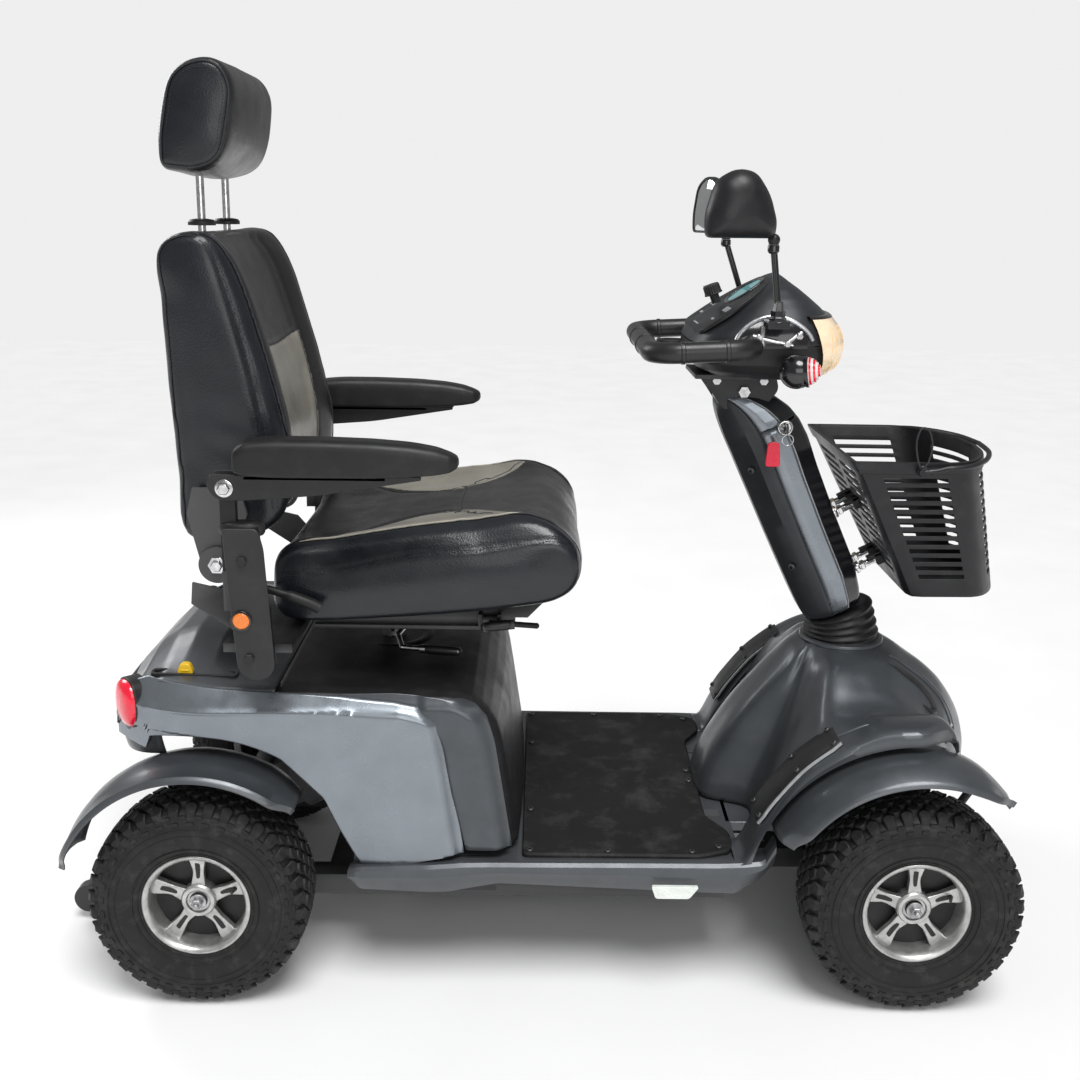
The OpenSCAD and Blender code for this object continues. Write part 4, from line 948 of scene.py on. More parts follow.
def add_backrest():
    """The backrest cushion, hollow between its bolsters, with its seams and the headrest's collars."""
    stations = [(-214, inset(BACK_SIDE, 8)), (-211, BACK_SIDE),
                (-203, profile_between(BACK_SIDE, BACK_RIDGE, 0.7)), (-188, BACK_RIDGE),
                (-166, hollowed(BACK_RIDGE, 5)), (-132, hollowed(BACK_RIDGE, 22)),
                (-100, hollowed(BACK_RIDGE, 33)), (-60, hollowed(BACK_RIDGE, 36)),
                (0, hollowed(BACK_RIDGE, 37))]
    back = upholster("backrest_pad", pad_shape(stations), "backrest", "backrest_cushion", 7)
    side_seam = [(-470, -217, 1170), (-458, -222, 1160), (-437, -222, 1095), (-415, -222, 1020),
                 (-398, -222, 940), (-388, -222, 877), (-378, -222, 812), (-374, -222, 764)]
    rear_seam = [(-526, -222, 730), (-533, -222, 800), (-541, -222, 900), (-545, -222, 1000),
                 (-546, -222, 1080), (-543, -220, 1146), (-524, -218, 1172), (-486, -217, 1180)]
    ridge = [(-476, -196, 1184), (-446, -194, 1168), (-414, -192, 1108), (-384, -191, 1022),
             (-364, -190, 945), (-350, -190, 868), (-350, -190, 808), (-358, -190, 760)]
    band = [(-414, -126, 999), (-424, -90, 994), (-426, -50, 991), (-426, 0, 989), (-426, 50, 991),
            (-424, 90, 994), (-414, 126, 999)]
    panel = [(back_front(z) - 30, -128, z) for z in (1150, 1108, 1022, 945, 868, 808, 770)]
    seams = [side_seam, rear_seam, ridge, panel, mirrored(side_seam), mirrored(rear_seam), mirrored(ridge),
             mirrored(panel), band]
    skin = surface(back)
    sew(back, [[p for p, _ in laid(skin, path, 4)] for path in seams])
    wrinkle(back)
    fine(back)
    tint(back, back_tint)
    skin = surface(back)
    double_seam("backrest_side_seam", skin, [side_seam, mirrored(side_seam)], "backrest")
    piping("backrest_piping", skin, [ridge, mirrored(ridge)], "backrest", radius=1.7)
    piping("backrest_rear_piping", skin, [rear_seam, mirrored(rear_seam)], "backrest", radius=1.5)
    piping("backrest_band_seam", skin, [band, panel, mirrored(panel)], "backrest", radius=0.9, sink=0.9)
    for side in (-1, 1):
        collar = spun([(21, -4), (21, 1), (18, 4.5), (9, 6), (7.2, 6), (7.2, -4)],
                      (HEADPOST_X, side * HEADPOST_Y, 1183), (0, 0, 1), 32)
        make(f"headrest_collar_{'right' if side < 0 else 'left'}", collar, "backrest", "black_plastic",
             bevel=0.5)


def wrinkle(piece):
    """Soft pulls in the lower part of the side panels, slanting down to the front."""
    for vertex in piece.data.vertices:
        x, y, z = vertex.co * 1000
        if abs(y) < 200:
            continue
        strength = math.exp(-((z - 850) / 80) ** 2) * min(max((x + 500) / 60, 0), 1)
        phase = (z + 0.45 * (x + 450)) / 9.5 + 1.5 * noise.noise(Vector((x, y, z)) / 60)
        vertex.co.y -= math.copysign(1.5 * strength * (0.5 + 0.5 * math.sin(phase)), y) / 1000


HEAD_END = [(-546, 1268), (-547, 1301), (-541, 1341), (-530, 1382), (-514, 1402), (-493, 1412), (-471, 1413),
            (-456, 1405), (-446, 1389), (-443, 1366), (-450, 1323), (-459, 1290), (-474, 1272), (-500, 1263),
            (-526, 1264)]


def head_tint(x, y, z):
    """Colour of the headrest: navy ends and a charcoal band."""
    return NAVY if abs(y) > 133 else CHARCOAL


def add_headrest():
    """The headrest, with piping round its ends."""
    stations = [(-138, inset(HEAD_END, 2)), (-136, inset(HEAD_END, -3)), (-126, inset(HEAD_END, -7)),
                (-60, inset(HEAD_END, -8)), (0, inset(HEAD_END, -9))]
    head = upholster("headrest_cushion", pad_shape(stations), "headrest", "headrest_pad", 5, 4.0)
    ring = [(x, -136, z) for x, z in inset(HEAD_END, 0.5)]
    ring.append(ring[0])
    inner = [(x, -140, z) for x, z in inset(HEAD_END, 9)]
    inner.append(inner[0])
    skin = surface(head)
    sew(head, [[p for p, _ in laid(skin, path, 4)] for path in (ring, mirrored(ring))], 1.6, 4)
    fine(head)
    tint(head, head_tint)
    skin = surface(head)
    piping("headrest_piping", skin, [ring, mirrored(ring)], "headrest", radius=1.8)
    rows = [laid(skin, path, 2.8) for path in (inner, mirrored(inner))]
    refinish(make("headrest_stitches", stitches(rows), "headrest", "leather_navy"), THREAD)


add_seat()
add_backrest()
add_headrest()

# ---------- panels whose shape is a height over a side view ----------


def between(value, table):
    """Reads a table of (key, value) pairs by straight lines."""
    keys, values = zip(*table)
    return float(np.interp(value, keys, values))


def ease(t):
    """Smooth from 0 to 1."""
    t = min(max(t, 0.0), 1.0)
    return t * t * (3 - 2 * t)


def outline_rows(outline, columns):
    """Lowest and highest Z of a closed outline of (x, z) at evenly spread X."""
    xs = [x for x, _ in outline]
    made = []
    for x in np.linspace(min(xs) + 0.5, max(xs) - 0.5, columns + 1):
        hits = []
        for (x0, z0), (x1, z1) in zip(outline, outline[1:] + outline[:1]):
            if (x0 - x) * (x1 - x) < 0:
                hits.append(z0 + (z1 - z0) * (x - x0) / (x1 - x0))
        made.append((x, min(hits), max(hits)))
    return made


def side_skin(outline, depth, columns=90, rows=30):
    """A skin over an outline in X and Z; depth(x, z) gives the distance from the middle plane."""
    spans = outline_rows(outline, columns)

    def at(u, v):
        """The skin's point at a share of its length and of its height."""
        x, low, high = spans[round(u * columns)]
        z = low + (high - low) * v
        return x, -depth(x, z), z
    return grid(at, columns, rows)


# ---------- rear body ----------


def side_depth(x, z):
    """The side panel bulges, with a crease under its flat upper strip and a folded lower chamfer."""
    y = 291.0
    tail = max(0.0, -470 - x)
    y -= 0.0035 * tail ** 2 * (0.62 if z > 430 else 0.75)
    crease = between(x, [(-640, 452), (-600, 466), (-300, 469), (-190, 463), (-130, 449)])
    if z > crease:
        y -= 0.72 * (z - crease)
    y += 1.6 * math.exp(-((z - crease) / 4) ** 2)
    fold = between(x, [(-400, 300), (-300, 300), (-254, 300), (-170, 262), (-90, 250)])
    if z < fold:
        y -= 0.0016 * (fold - z) ** 2
    front = between(z, [(214, -178), (234, -96), (397, -120), (448, -130), (476, -150)])
    y -= 14 * ease((x - front + 20) / 20)
    return y


REAR_SIDE = ([(-640, 402), (-583, 394)] + arc(REAR_X, WHEEL_Z, GUARD_LIP_R + 50, 108, 60, 14)
             + [(-306, 329), (-280, 270), (-254, 214), (-178, 214), (-94, 234), (-104, 300), (-119, 397),
                (-129, 448), (-137, 464), (-150, 475), (-200, 485), (-282, 492), (-449, 497), (-582, 505),
                (-604, 496), (-620, 482), (-634, 450), (-640, 420)])
side_panel = side_skin(REAR_SIDE, side_depth, 130, 44)
for flip, tail in ((flipped, "left"), (lambda shape: shape, "right")):
    make("body_side_" + tail, flip(side_panel), "chassis", "silver_plastic", thick=3.5, sharp=50)


def tail_plan(x):
    """Half-width of the rear deck at X."""
    return between(x, [(-668, 92), (-662, 128), (-650, 168), (-630, 200), (-600, 226), (-560, 250),
                       (-520, 262), (-470, 269), (-380, 271)])


def deck_top(x):
    """Height of the deck's middle at X."""
    return between(x, [(-668, 402), (-664, 425), (-655, 447), (-642, 468), (-625, 487), (-600, 511),
                       (-570, 530), (-535, 540), (-490, 532), (-450, 512), (-420, 503), (-380, 500)])


def deck_at(u, v):
    """The domed rear deck: a hump in the middle that falls to the side panels' top edge."""
    x = -668 + 288 * u ** 0.9
    width = tail_plan(x)
    y = width * (2 * v - 1)
    edge = between(x, [(-668, 400), (-640, 440), (-600, 492), (-560, 503), (-380, 498)])
    share = abs(y) / width
    drop = ease((share - 0.35) / 0.65)
    top = deck_top(x) * (1 - drop) + edge * drop
    return x, y, top - 2.0 * (share > 0.97)


make("rear_dome", grid(deck_at, 70, 60), "chassis", "dark_plastic", thick=3.5, sharp=60)


def tail_at(u, v):
    """The tail below the dome, wrapped round both corners."""
    angle = math.pi * (u - 0.5)
    reach = 262 * (1 + 0.06 * math.cos(2 * angle))
    y = -reach * math.sin(angle)
    x = -566 - 100 * math.cos(angle) ** 0.6 if abs(math.cos(angle)) > 1e-6 else -566
    z = 378 + 62 * v
    return x + 7 * (1 - v) ** 2, y * (1 - 0.02 * (1 - v) ** 2), z


make("tail_apron", grid(tail_at, 60, 8), "chassis", "dark_plastic", thick=3.5)

# slot, yellow freewheel lever and its gap in the dome
slot_plate = rounded([(-580, -234), (-446, -234), (-446, -210), (-580, -210)], 9, 5)
slot_inner = [(x * 0.93 - 36, y * 0.55 - 100) for x, y in slot_plate]
slot_ring = loft([[(x, y, between(x, [(-580, 506), (-446, 503)]) + rise) for x, y in outline]
                  for outline, rise in ((slot_plate, -4), (slot_plate, 1.5), (slot_inner, 1.5),
                                        (slot_inner, -10))])
make("freewheel_slot", slot_ring, "chassis", "black_plastic", bevel=0.6)
make("freewheel_knob", join(prism(rounded([(-538, 484), (-516, 484), (-515, 508), (-520, 521), (-534, 521),
                                           (-539, 508)], 5), -228, -216),
                            block((-534, -229, 508), (-520, -215, 512))),
     "freewheel", "lever_yellow", "freewheel_lever", bevel=1.6)

# tail lamps: a domed red lens in a black surround


def lamp_shape(half_width, half_height, profile):
    """A lamp on the right rear corner; profile gives (share of its outline, height off the corner)."""
    middle, along, out = Vector((-607.5, -226, 459)), Vector((0.66, -0.75, 0)), Vector((-0.75, -0.66, 0))
    rings = []
    for share, height in profile:
        ring = []
        for a in np.linspace(0, 2 * math.pi, 41)[:-1]:
            across, up = (math.copysign(abs(f(a)) ** 0.8, f(a)) for f in (math.cos, math.sin))
            ring.append(middle + along * half_width * share * across
                        + Vector((0, 0, half_height * share * up))
                        + out * height)
        rings.append([tuple(p) for p in ring])
    return loft(rings)


make("tail_lens", both_sides(lamp_shape(31, 37, [(1, -12), (1, 13), (0.96, 17), (0.85, 20.5), (0.6, 23.5),
                                                 (0.3, 25)])), "chassis", "lamp_red", "tail_lamps", sharp=60)
make("tail_lens_surround", both_sides(lamp_shape(33.5, 39.5, [(1, -12), (1, 11), (0.97, 12.5)])), "chassis",
     "black_plastic", bevel=0.6)

# ---------- seat base cover and corner panels ----------

COVER_LINE = [(-386, 496), (-300, 494), (-180, 490), (-120, 489), (-99, 486), (-82, 481), (-68, 470),
              (-56, 454), (-46, 434), (-38, 400), (-30, 350), (-21, 290), (-13, 236)]


def cover_at(u, v):
    """The black cover over the batteries: flat top, soft shoulder, slightly hollow front."""
    i = u * (len(COVER_LINE) - 1)
    k = min(int(i), len(COVER_LINE) - 2)
    t = i - k
    x, z = (COVER_LINE[k][j] * (1 - t) + COVER_LINE[k + 1][j] * t for j in (0, 1))
    share = 2 * v - 1
    y = 263 * share
    side = ease((abs(share) - 0.9) / 0.1)
    front = ease((u - 0.45) / 0.3)
    x -= side * (3 + 20 * front)
    z -= side * 8 * (1 - 0.5 * front)
    bow = (1 - share * share) * front
    return x + 8 * bow, y, z + 2 * (1 - share * share) * (1 - front)


base_cover = grid(cover_at, 72, 60)
make("base_cover", base_cover, "chassis", "black_plastic", "seat_base_cover", thick=3.5, sharp=60)
well = [(70, -1.5), (70, 0.5), (66, 3.2), (58, 3.5), (50, 1.5), (43, -3.5), (36, -7), (22, -8.5), (22, -14),
        (70, -14)]
make("post_well", spun(well, (POST_X, 0, 491), (0, 0, 1), 64), "chassis",
     "black_plastic", bevel=0.4)
CORNER_OUTLINE = [(-286, 490), (-272, 470), (-200, 466), (-160, 461), (-142, 447), (-128, 420), (-114, 340),
                  (-92, 240), (-20, 240), (-34, 330), (-48, 420), (-60, 458), (-76, 476), (-104, 486),
                  (-200, 492)]


def corner_depth(x, z):
    """The corner panel wraps round the cover's front edge and tucks in at its top."""
    front = between(z, [(240, -20), (330, -34), (420, -48), (458, -60), (480, -90)])
    back = between(z, [(240, -92), (340, -114), (420, -128), (461, -160)])
    y = 281 - 16 * ease((x - front + 34) / 34) ** 2
    y -= 4 * ease((back - x + 6) / 10)
    y -= 12 * ease((z - 468) / 26)
    return y


corner = side_skin(CORNER_OUTLINE, corner_depth, 60, 26)
make("corner_cover", both_sides(corner), "chassis", "dark_plastic", "corner_panels", thick=3.5, sharp=55)
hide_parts("rear_body_shell")

# ---------- floor pan and mat ----------


def sill_ring(x):
    """Section of the pan's edge at X: a rolled top, a chamfer band and a tucked lower edge."""
    top = between(x, [(-276, 204), (-262, 213), (-180, 221), (-96, 226), (340, 227), (372, 229), (390, 262)])
    low = between(x, [(-276, 186), (-258, 166), (-120, 167), (-40, 181), (330, 165), (366, 188), (390, 214)])
    wide = between(x, [(-276, 291), (-150, 301), (-60, 297), (150, 295), (300, 294), (360, 290), (390, 286)])
    mid = top - 0.34 * (top - low)
    return [(x, -wide + 34, top - 3), (x, -wide + 13, top), (x, -wide + 6, top - 1),
            (x, -wide + 1.5, top - 6), (x, -wide, mid), (x, -wide + 7, mid - 0.42 * (mid - low)),
            (x, -wide + 15, low + 4), (x, -wide + 24, low), (x, -wide + 34, low + 6)]


sill = loft([sill_ring(x) for x in np.linspace(-275, 389, 90)])
make("sill", both_sides(sill), "chassis", "dark_plastic", "floor_pan", sharp=28)
make("pan_deck", join(block((-268, -264, 206), (340, 264, 223)), block((330, -150, 206), (420, 150, 223))),
     "chassis", "dark_plastic", bevel=2)


def mat_piece():
    """The floor mat, waisted round the foot of the shroud."""
    outline = rounded([(-4, -274), (276, -274), (322, -256), (330, -236), (330, -196), (298, -146),
                       (298, 146), (330, 196), (330, 236), (322, 256), (276, 274), (-4, 274)], 12, 4)
    inner = [(x * 0.985 + 2, y * 0.985) for x, y in outline]
    low = [(x * 0.96 + 5, y * 0.965) for x, y in outline]
    return loft([[(x, y, z) for x, y in ring] for ring, z in
                 ((outline, 223), (outline, 229.5), (inner, 231.8), (low, 230.4))])


make("mat", mat_piece(), "chassis", "mat_rubber", "floor_mat", bevel=0.5)


def screw_head(place, radius=5, axis=(0, 0, 1)):
    """A round screw head with a recess."""
    return spun([(radius, -1), (radius, 0.6), (radius * 0.8, 1.8), (radius * 0.42, 2.1),
                 (radius * 0.36, 0.7)],
                place, axis, 20)


reflector = prism(rounded([(203, 174), (255, 174), (270, 194), (196, 194)], 4, 3), -303.5, -296)
# the sill reflectors' glow is painted light
make("sill_reflector_lens", both_sides(reflector), "chassis", "reflector_white", "sill_reflectors", bevel=0.8)

# ---------- mudguards ----------


def guard(cx, start, sweep, crown, lip, inner):
    """A mudguard: crown(a) and lip(a) give its radii at the angle a, the edge tucks inwards at the ends."""
    rings = []
    for a in np.linspace(start, start + sweep, 60):
        top, edge = crown(a), lip(a)
        end = min(a - start, start + sweep - a)
        tuck = 26 * (1 - ease(end / 13)) ** 1.5
        section = [(top - 12, inner), (top - 4, inner + 14), (top, 258), (top + 0.5, 282), (top - 3, 306),
                   (top - 9, 324 - 0.4 * tuck), (edge + 9, 337 - 0.8 * tuck), (edge + 5, 343 - tuck),
                   (edge, 344.5 - tuck), (edge - 1, 342 - tuck), (edge + 3, 338 - tuck)]
        t = math.radians(a)
        rings.append([(cx + r * math.cos(t), -y, WHEEL_Z + r * math.sin(t)) for r, y in section])
    return loft(rings, wrap=False)


front_guard = guard(FRONT_X, 52, 101, lambda a: between(a, [(52, 224), (66, 236), (80, 241), (152, 241)]),
                    lambda a: between(a, [(52, 219), (70, 215), (152, 214)]), 222)
rear_guard = guard(REAR_X, 45, 121, lambda a: between(a, [(45, 216), (60, 222), (90, 223), (166, 223)]),
                   lambda a: between(a, [(45, 208), (166, 208)]), 226)
make("mudguards_front", both_sides(front_guard), "chassis", "dark_plastic", "fenders", thick=3, sharp=40)
make("mudguards_rear", both_sides(rear_guard), "chassis", "dark_plastic", thick=3, sharp=40)

# ---------- front shroud ----------

# Control lines from the collar outwards and down, from the nose round to the foot tunnel
SPOKES = [
    [(602, 0, 497), (628, 0, 489), (655, 0, 471), (690, 0, 446), (720, 0, 416), (747, 0, 372), (761, 0, 325),
     (763, 0, 286)],
    [(595, 30, 497), (620, 42, 488), (645, 53, 467), (676, 63, 439), (702, 72, 408), (721, 80, 366),
     (730, 84, 322), (731, 86, 286)],
    [(578, 50, 497), (602, 73, 486), (624, 93, 463), (648, 112, 436), (668, 128, 408), (686, 142, 372),
     (696, 150, 325), (698, 152, 286)],
    [(560, 60, 497), (572, 88, 487), (586, 114, 470), (602, 140, 450), (618, 162, 438), (636, 182, 421),
     (648, 194, 392), (652, 200, 350)],
    [(540, 64, 497), (542, 92, 489), (545, 120, 479), (548, 146, 462), (551, 172, 446), (554, 196, 441),
     (556, 220, 441), (558, 240, 440)],
    [(518, 60, 497), (506, 90, 489), (496, 118, 479), (489, 146, 462), (484, 174, 442), (481, 198, 429),
     (479, 220, 421), (478, 240, 417)],
    [(497, 50, 497), (479, 80, 474), (467, 104, 444), (458, 130, 420), (451, 158, 405), (446, 184, 394),
     (440, 205, 386), (436, 216, 382)],
    [(487, 44, 497), (468, 70, 465), (453, 93, 428), (440, 116, 392), (425, 138, 361), (408, 162, 328),
     (388, 188, 288), (360, 207, 234)],
    [(479, 38, 496), (457, 60, 452), (440, 73, 416), (421, 83, 372), (405, 92, 330), (391, 100, 290),
     (381, 105, 255), (375, 107, 227)],
    [(473, 30, 496), (453, 47, 474), (425, 52, 441), (396, 54, 405), (366, 56, 366), (339, 58, 322),
     (313, 61, 271), (303, 66, 227)],
    [(469, 0, 497), (450, 0, 486), (424, 0, 454), (395, 0, 418), (365, 0, 379), (338, 0, 337), (308, 0, 283),
     (291, 0, 227)],
]


def shroud_shape():
    """The shroud, through the control lines and their mirror images."""
    whole = SPOKES + [[(x, -y, z) for x, y, z in line] for line in SPOKES[-2:0:-1]]
    lines = [smooth_path(line, 5) for line in whole]
    rings = [smooth_path([line[k] for line in lines], 7, closed=True) for k in range(len(lines[0]))]
    return loft(rings, caps=False)


make("shroud", shroud_shape(), "chassis", "dark_plastic", "front_shroud", thick=3.5, sharp=60)
make("collar", spun([(58, -14), (66, -14), (70, -4), (71, 1), (69, 4.5), (64, 6), (60, 4), (58, 0)],
                    (STEM_X, 0, 497), (0, 0, 1), 64), "chassis", "dark_plastic", bevel=0.5)

WING_TOP = [(326, 229), (342, 236), (364, 280), (392, 329), (428, 375), (482, 417), (535, 443), (580, 448),
            (625, 449), (648, 445), (664, 428), (668, 404)]


def wing_ring(p):
    """Section of a wing: a broad top, a bright outer crease and a side that ends above the mudguard."""
    x, z = p
    out = Vector((x - FRONT_X, z - WHEEL_Z))
    reach = min(out.length - 4, 253)
    low = out.normalized() * reach
    lx, lz = FRONT_X + low.x, WHEEL_Z + low.y
    nose = 34 * ease((x - 600) / 66)
    return [(x, -200, z - 14), (x, -212, z - 3), (x, -232, z), (x, -266 + nose, z),
            (x, -278 + nose, z - 1.5), (x, -285 + nose, z - 6),
            ((x * 0.6 + lx * 0.4), -288 + nose, z * 0.6 + lz * 0.4 - 3), (lx, -286 + nose, lz),
            (lx, -281 + nose, lz + 1)]


wing = loft([wing_ring(p) for p in smooth_path(WING_TOP, 7)], wrap=False)
make("shroud_wings", both_sides(wing), "chassis", "dark_plastic", thick=3, sharp=35)

# kick panels on the wings' slope, with a pale edge line and six screws each
KICK = [(361, 285), (376, 312), (394, 337), (412, 360), (430, 380), (456, 402), (482, 421)]


def kick_at(y0, y1, rise):
    """A plate along the wing's slope between two distances from the middle plane."""
    line = smooth_path([(x, 0, z) for x, z in KICK], 4)
    rings = []
    for k, p in enumerate(line):
        ahead = line[min(k + 1, len(line) - 1)] - line[max(k - 1, 0)]
        out = Vector((-ahead.z, 0, ahead.x)).normalized()
        end = min(k, len(line) - 1 - k)
        pull = 5 * max(0, 1 - end / 2)
        rings.append([p + out * h + Vector((0, y, 0)) for y, h in
                      ((-y1 + pull, -2), (-y1 + pull, rise - 1), (-y1 + pull + 2, rise),
                       (-y0 - pull - 2, rise), (-y0 - pull, rise - 1), (-y0 - pull, -2))])
    return loft(rings)


make("kick_pads", both_sides(kick_at(210, 272, 4)), "chassis", "black_plastic", "kick_panels", bevel=0.6)
refinish(make("kick_pad_edges", both_sides(kick_at(207, 275, 1.6)), "chassis", "black_plastic"), PALE)
heads = [screw_head((x, side * y, FLOOR_Z + 4)) for x, y in
         ((8, 262), (130, 262), (262, 262), (306, 246), (8, 130), (285, 20)) for side in (-1, 1)]
for x, z in ((366, 295), (420, 371), (474, 417)):
    for y in (217, 265):
        for side in (-1, 1):
            heads.append(screw_head((x - 3, side * y, z + 3), 4.5, (-0.72, 0, 0.69)))
make("panel_screw_heads", join(*heads), "chassis", "screw_black", "panel_screws")


def laid_tube(points, radius, name, slot, sides=10):
    """A tube sunk halfway into the shroud along points seen from above."""
    surface_tree = BVHTree.FromPolygons([Vector(p) for p in SHROUD[0]], SHROUD[1])
    line = []
    for p in smooth_path([(*p, 0) for p in points], 8):
        hit = surface_tree.ray_cast(Vector((p.x, p.y, 700)), Vector((0, 0, -1)))[0]
        line.append(hit if hit is not None else line[-1])
    shape = tube(line, lambda t: radius * (0.35 + 0.65 * min(1, 6 * t, 6 * (1 - t))), sides)
    return make(name, both_sides(shape), "chassis", slot)


SHROUD = shroud_shape()
laid_tube([(600, -84), (628, -88), (652, -92), (668, -102), (672, -116), (664, -128), (650, -130)], 5.5,
          "air_slots", "black_plastic")
laid_tube([(606, -66), (640, -64), (676, -66), (704, -76), (712, -96), (694, -124)], 4.5, "nose_hoops",
          "dark_plastic")

# ---------- bellows ----------


def bellows_ring(t, radius):
    """A ring of the bellows; t runs from its foot to its top."""
    centre = Vector((541 - 9 * t, 0, 492 + 60 * t))
    lean = -math.radians(22) * t ** 1.3
    turn = Matrix.Rotation(lean, 3, "Y")
    return [centre + turn @ Vector((radius * math.cos(a), radius * math.sin(a), 0))
            for a in np.linspace(0, 2 * math.pi, 57)[:-1]]


bellows_rings = [bellows_ring(0, 50), bellows_ring(0, 63)]
for k in range(5):
    for share, swell in ((0.1, 0), (0.35, 4.2), (0.5, 5), (0.65, 4.2), (0.9, 0)):
        t = (k + share) / 5
        bellows_rings.append(bellows_ring(t, 61.5 - 9 * t + swell))
bellows_rings += [bellows_ring(1, 50), bellows_ring(1.0, 44)]
bellows_mesh = bpy.data.meshes.new("bellows_skin")
bellows_points, bellows_faces = loft(bellows_rings)
bellows_mesh.from_pydata([p / 1000 for p in map(Vector, bellows_points)], [], bellows_faces)
bellows_mesh.shade_smooth()
bellows_piece = bpy.data.objects.new("bellows_skin", bellows_mesh)
scene.collection.objects.link(bellows_piece)
bellows_mesh.materials.append(FINISHES["bellows_rubber"])
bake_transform(bellows_piece)
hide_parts("bellows")

# ---------- tiller cover ----------

# Height along the column, rear and front of the section, half-width, and how far the corners are cut
TILLER_LEVELS = [(44, -50, 40, 49, 0), (60, -55, 47, 53, 0), (104, -57, 55, 56, 0), (200, -58, 56.5, 57, 0),
                 (290, -58, 60, 58, 0), (340, -58, 64, 58, 0), (372, -58, 62, 58, 1), (396, -58, 55, 57, 3),
                 (418, -57, 42, 55, 6), (436, -55, 24, 52, 9), (450, -52, 2, 47, 12), (458, -48, -18, 40, 14)]


def tiller_half(level, part):
    """One side of the section at a level, as (u, y): the dark rear part, the silver facet or the front."""
    rear, front, hw, cut = level
    edge = rear + 0.44 * (front - rear)
    back, ahead = edge - rear, front - 6 - edge
    if part == "rear":
        flat = [(rear, 0), (rear, 20), (rear + 0.12 * back, 28), (rear + 0.57 * back, hw - 6),
                (rear + 0.72 * back, hw - 3), (rear + 0.9 * back, hw), (edge, hw)]
    elif part == "side":
        flat = [(edge + 0.5, hw), (edge + 0.3 * ahead, hw), (edge + 0.55 * ahead, hw - 0.5),
                (edge + 0.62 * ahead, hw - 0.8)]
    else:
        flat = [(edge + 0.64 * ahead, hw - 1.2), (edge + 0.7 * ahead, hw - 4.5), (front - 5, 40 - 0.2 * cut),
                (front, 35 - 0.2 * cut), (front + 1.8, 29), (front + 3, 22), (front + 3.6, 0)]
    return [(u, y * (1 - 0.004 * cut)) for u, y in flat]


def tiller_level(w):
    """Rear, front, half-width and corner cut of the tiller's section at a height along it."""
    return [between(w, [(row[0], row[k]) for row in TILLER_LEVELS]) for k in (1, 2, 3, 4)]


def tiller_skin(part, low, high, steps=34):
    """One part of the tiller's right side, between two heights along it."""
    return loft([[on_tiller(u, -y, w) for u, y in tiller_half(tiller_level(w), part)]
                 for w in np.linspace(low, high, steps)], wrap=False)


make("tiller_rear_skin", both_sides(tiller_skin("rear", 44, 458)), "tiller", "dark_plastic", "tiller_cover",
     thick=3, sharp=24)
make("tiller_side_skin", both_sides(tiller_skin("side", 44, 384)), "tiller", "silver_plastic", "tiller_trim",
     thick=3, sharp=24)
make("tiller_top_skin", both_sides(tiller_skin("side", 385, 458)), "tiller", "dark_plastic", thick=3,
     sharp=24)
refinish(bpy.data.objects["tiller_rear_skin"], SHELL)
refinish(bpy.data.objects["tiller_top_skin"], FINISHES["silver_plastic"])
make("tiller_insert", both_sides(tiller_skin("front", 44, 384)), "tiller", "gloss_black", thick=3, sharp=40)
make("tiller_insert_top", both_sides(tiller_skin("front", 385, 458)), "tiller", "dark_plastic", thick=3,
     sharp=40)
refinish(bpy.data.objects["tiller_insert_top"], SHELL)
cap_plan = [(-48, 22), (-40, 36), (-20, 39), (-17, 30), (-15, 0)]
cap_plan += [(u, -y) for u, y in cap_plan[-2::-1]]
make("tiller_cap", loft([[on_tiller(-30 + (u + 30) * s, y * s, w) for u, y in cap_plan]
                         for w, s in ((452, 1.0), (458, 1.0), (462, 0.93), (464, 0.75))]),
     "tiller", "dark_plastic", bevel=0.8, sharp=60)
edge_lines = []
for side in (-1, 1):
    line = []
    for w in np.linspace(46, 455, 28):
        u, y = tiller_half(tiller_level(w), "side")[-1]
        line.append(on_tiller(u + 0.8, side * (y - 0.4), w))
    edge_lines.append(tube(line, 0.9, 6))
refinish(make("tiller_edge_lines", join(*edge_lines), "tiller", "silver_plastic"), PALE)
tiller_screws = [spun([(5.5, -1), (5.5, 1), (4.4, 2.2), (2.2, 2.4), (2, 0.6)], on_tiller(-42, side * 45.5, w),
                      Vector(on_tiller(-0.64, side * 0.77, 0)) - Vector(on_tiller(0, 0, 0)), 20)
                 for w in (330, 150) for side in (-1, 1)]
make("tiller_screws", join(*tiller_screws), "tiller", "screw_black")
pegs = []
for w in (97, 202):
    for y in (-24, 24):
        direction = Vector(on_tiller(1, 0, 0)) - Vector(on_tiller(0, 0, 0))
        pegs.append(spun([(6, 0), (6, 24), (5.4, 26), (5.4, 36), (4.6, 37)],
                         on_tiller(56, y, w), direction, 20))
        pegs.append(spun([(10.5, 0), (10.5, 5), (9.6, 6.5)], on_tiller(57, y, w), direction, 24))
        pegs.append(spun([(9, 0), (9, 6), (7.8, 7)], on_tiller(66, y, w), direction, 6))
make("basket_pegs", join(*pegs), "tiller", "bright_steel", bevel=0.4)

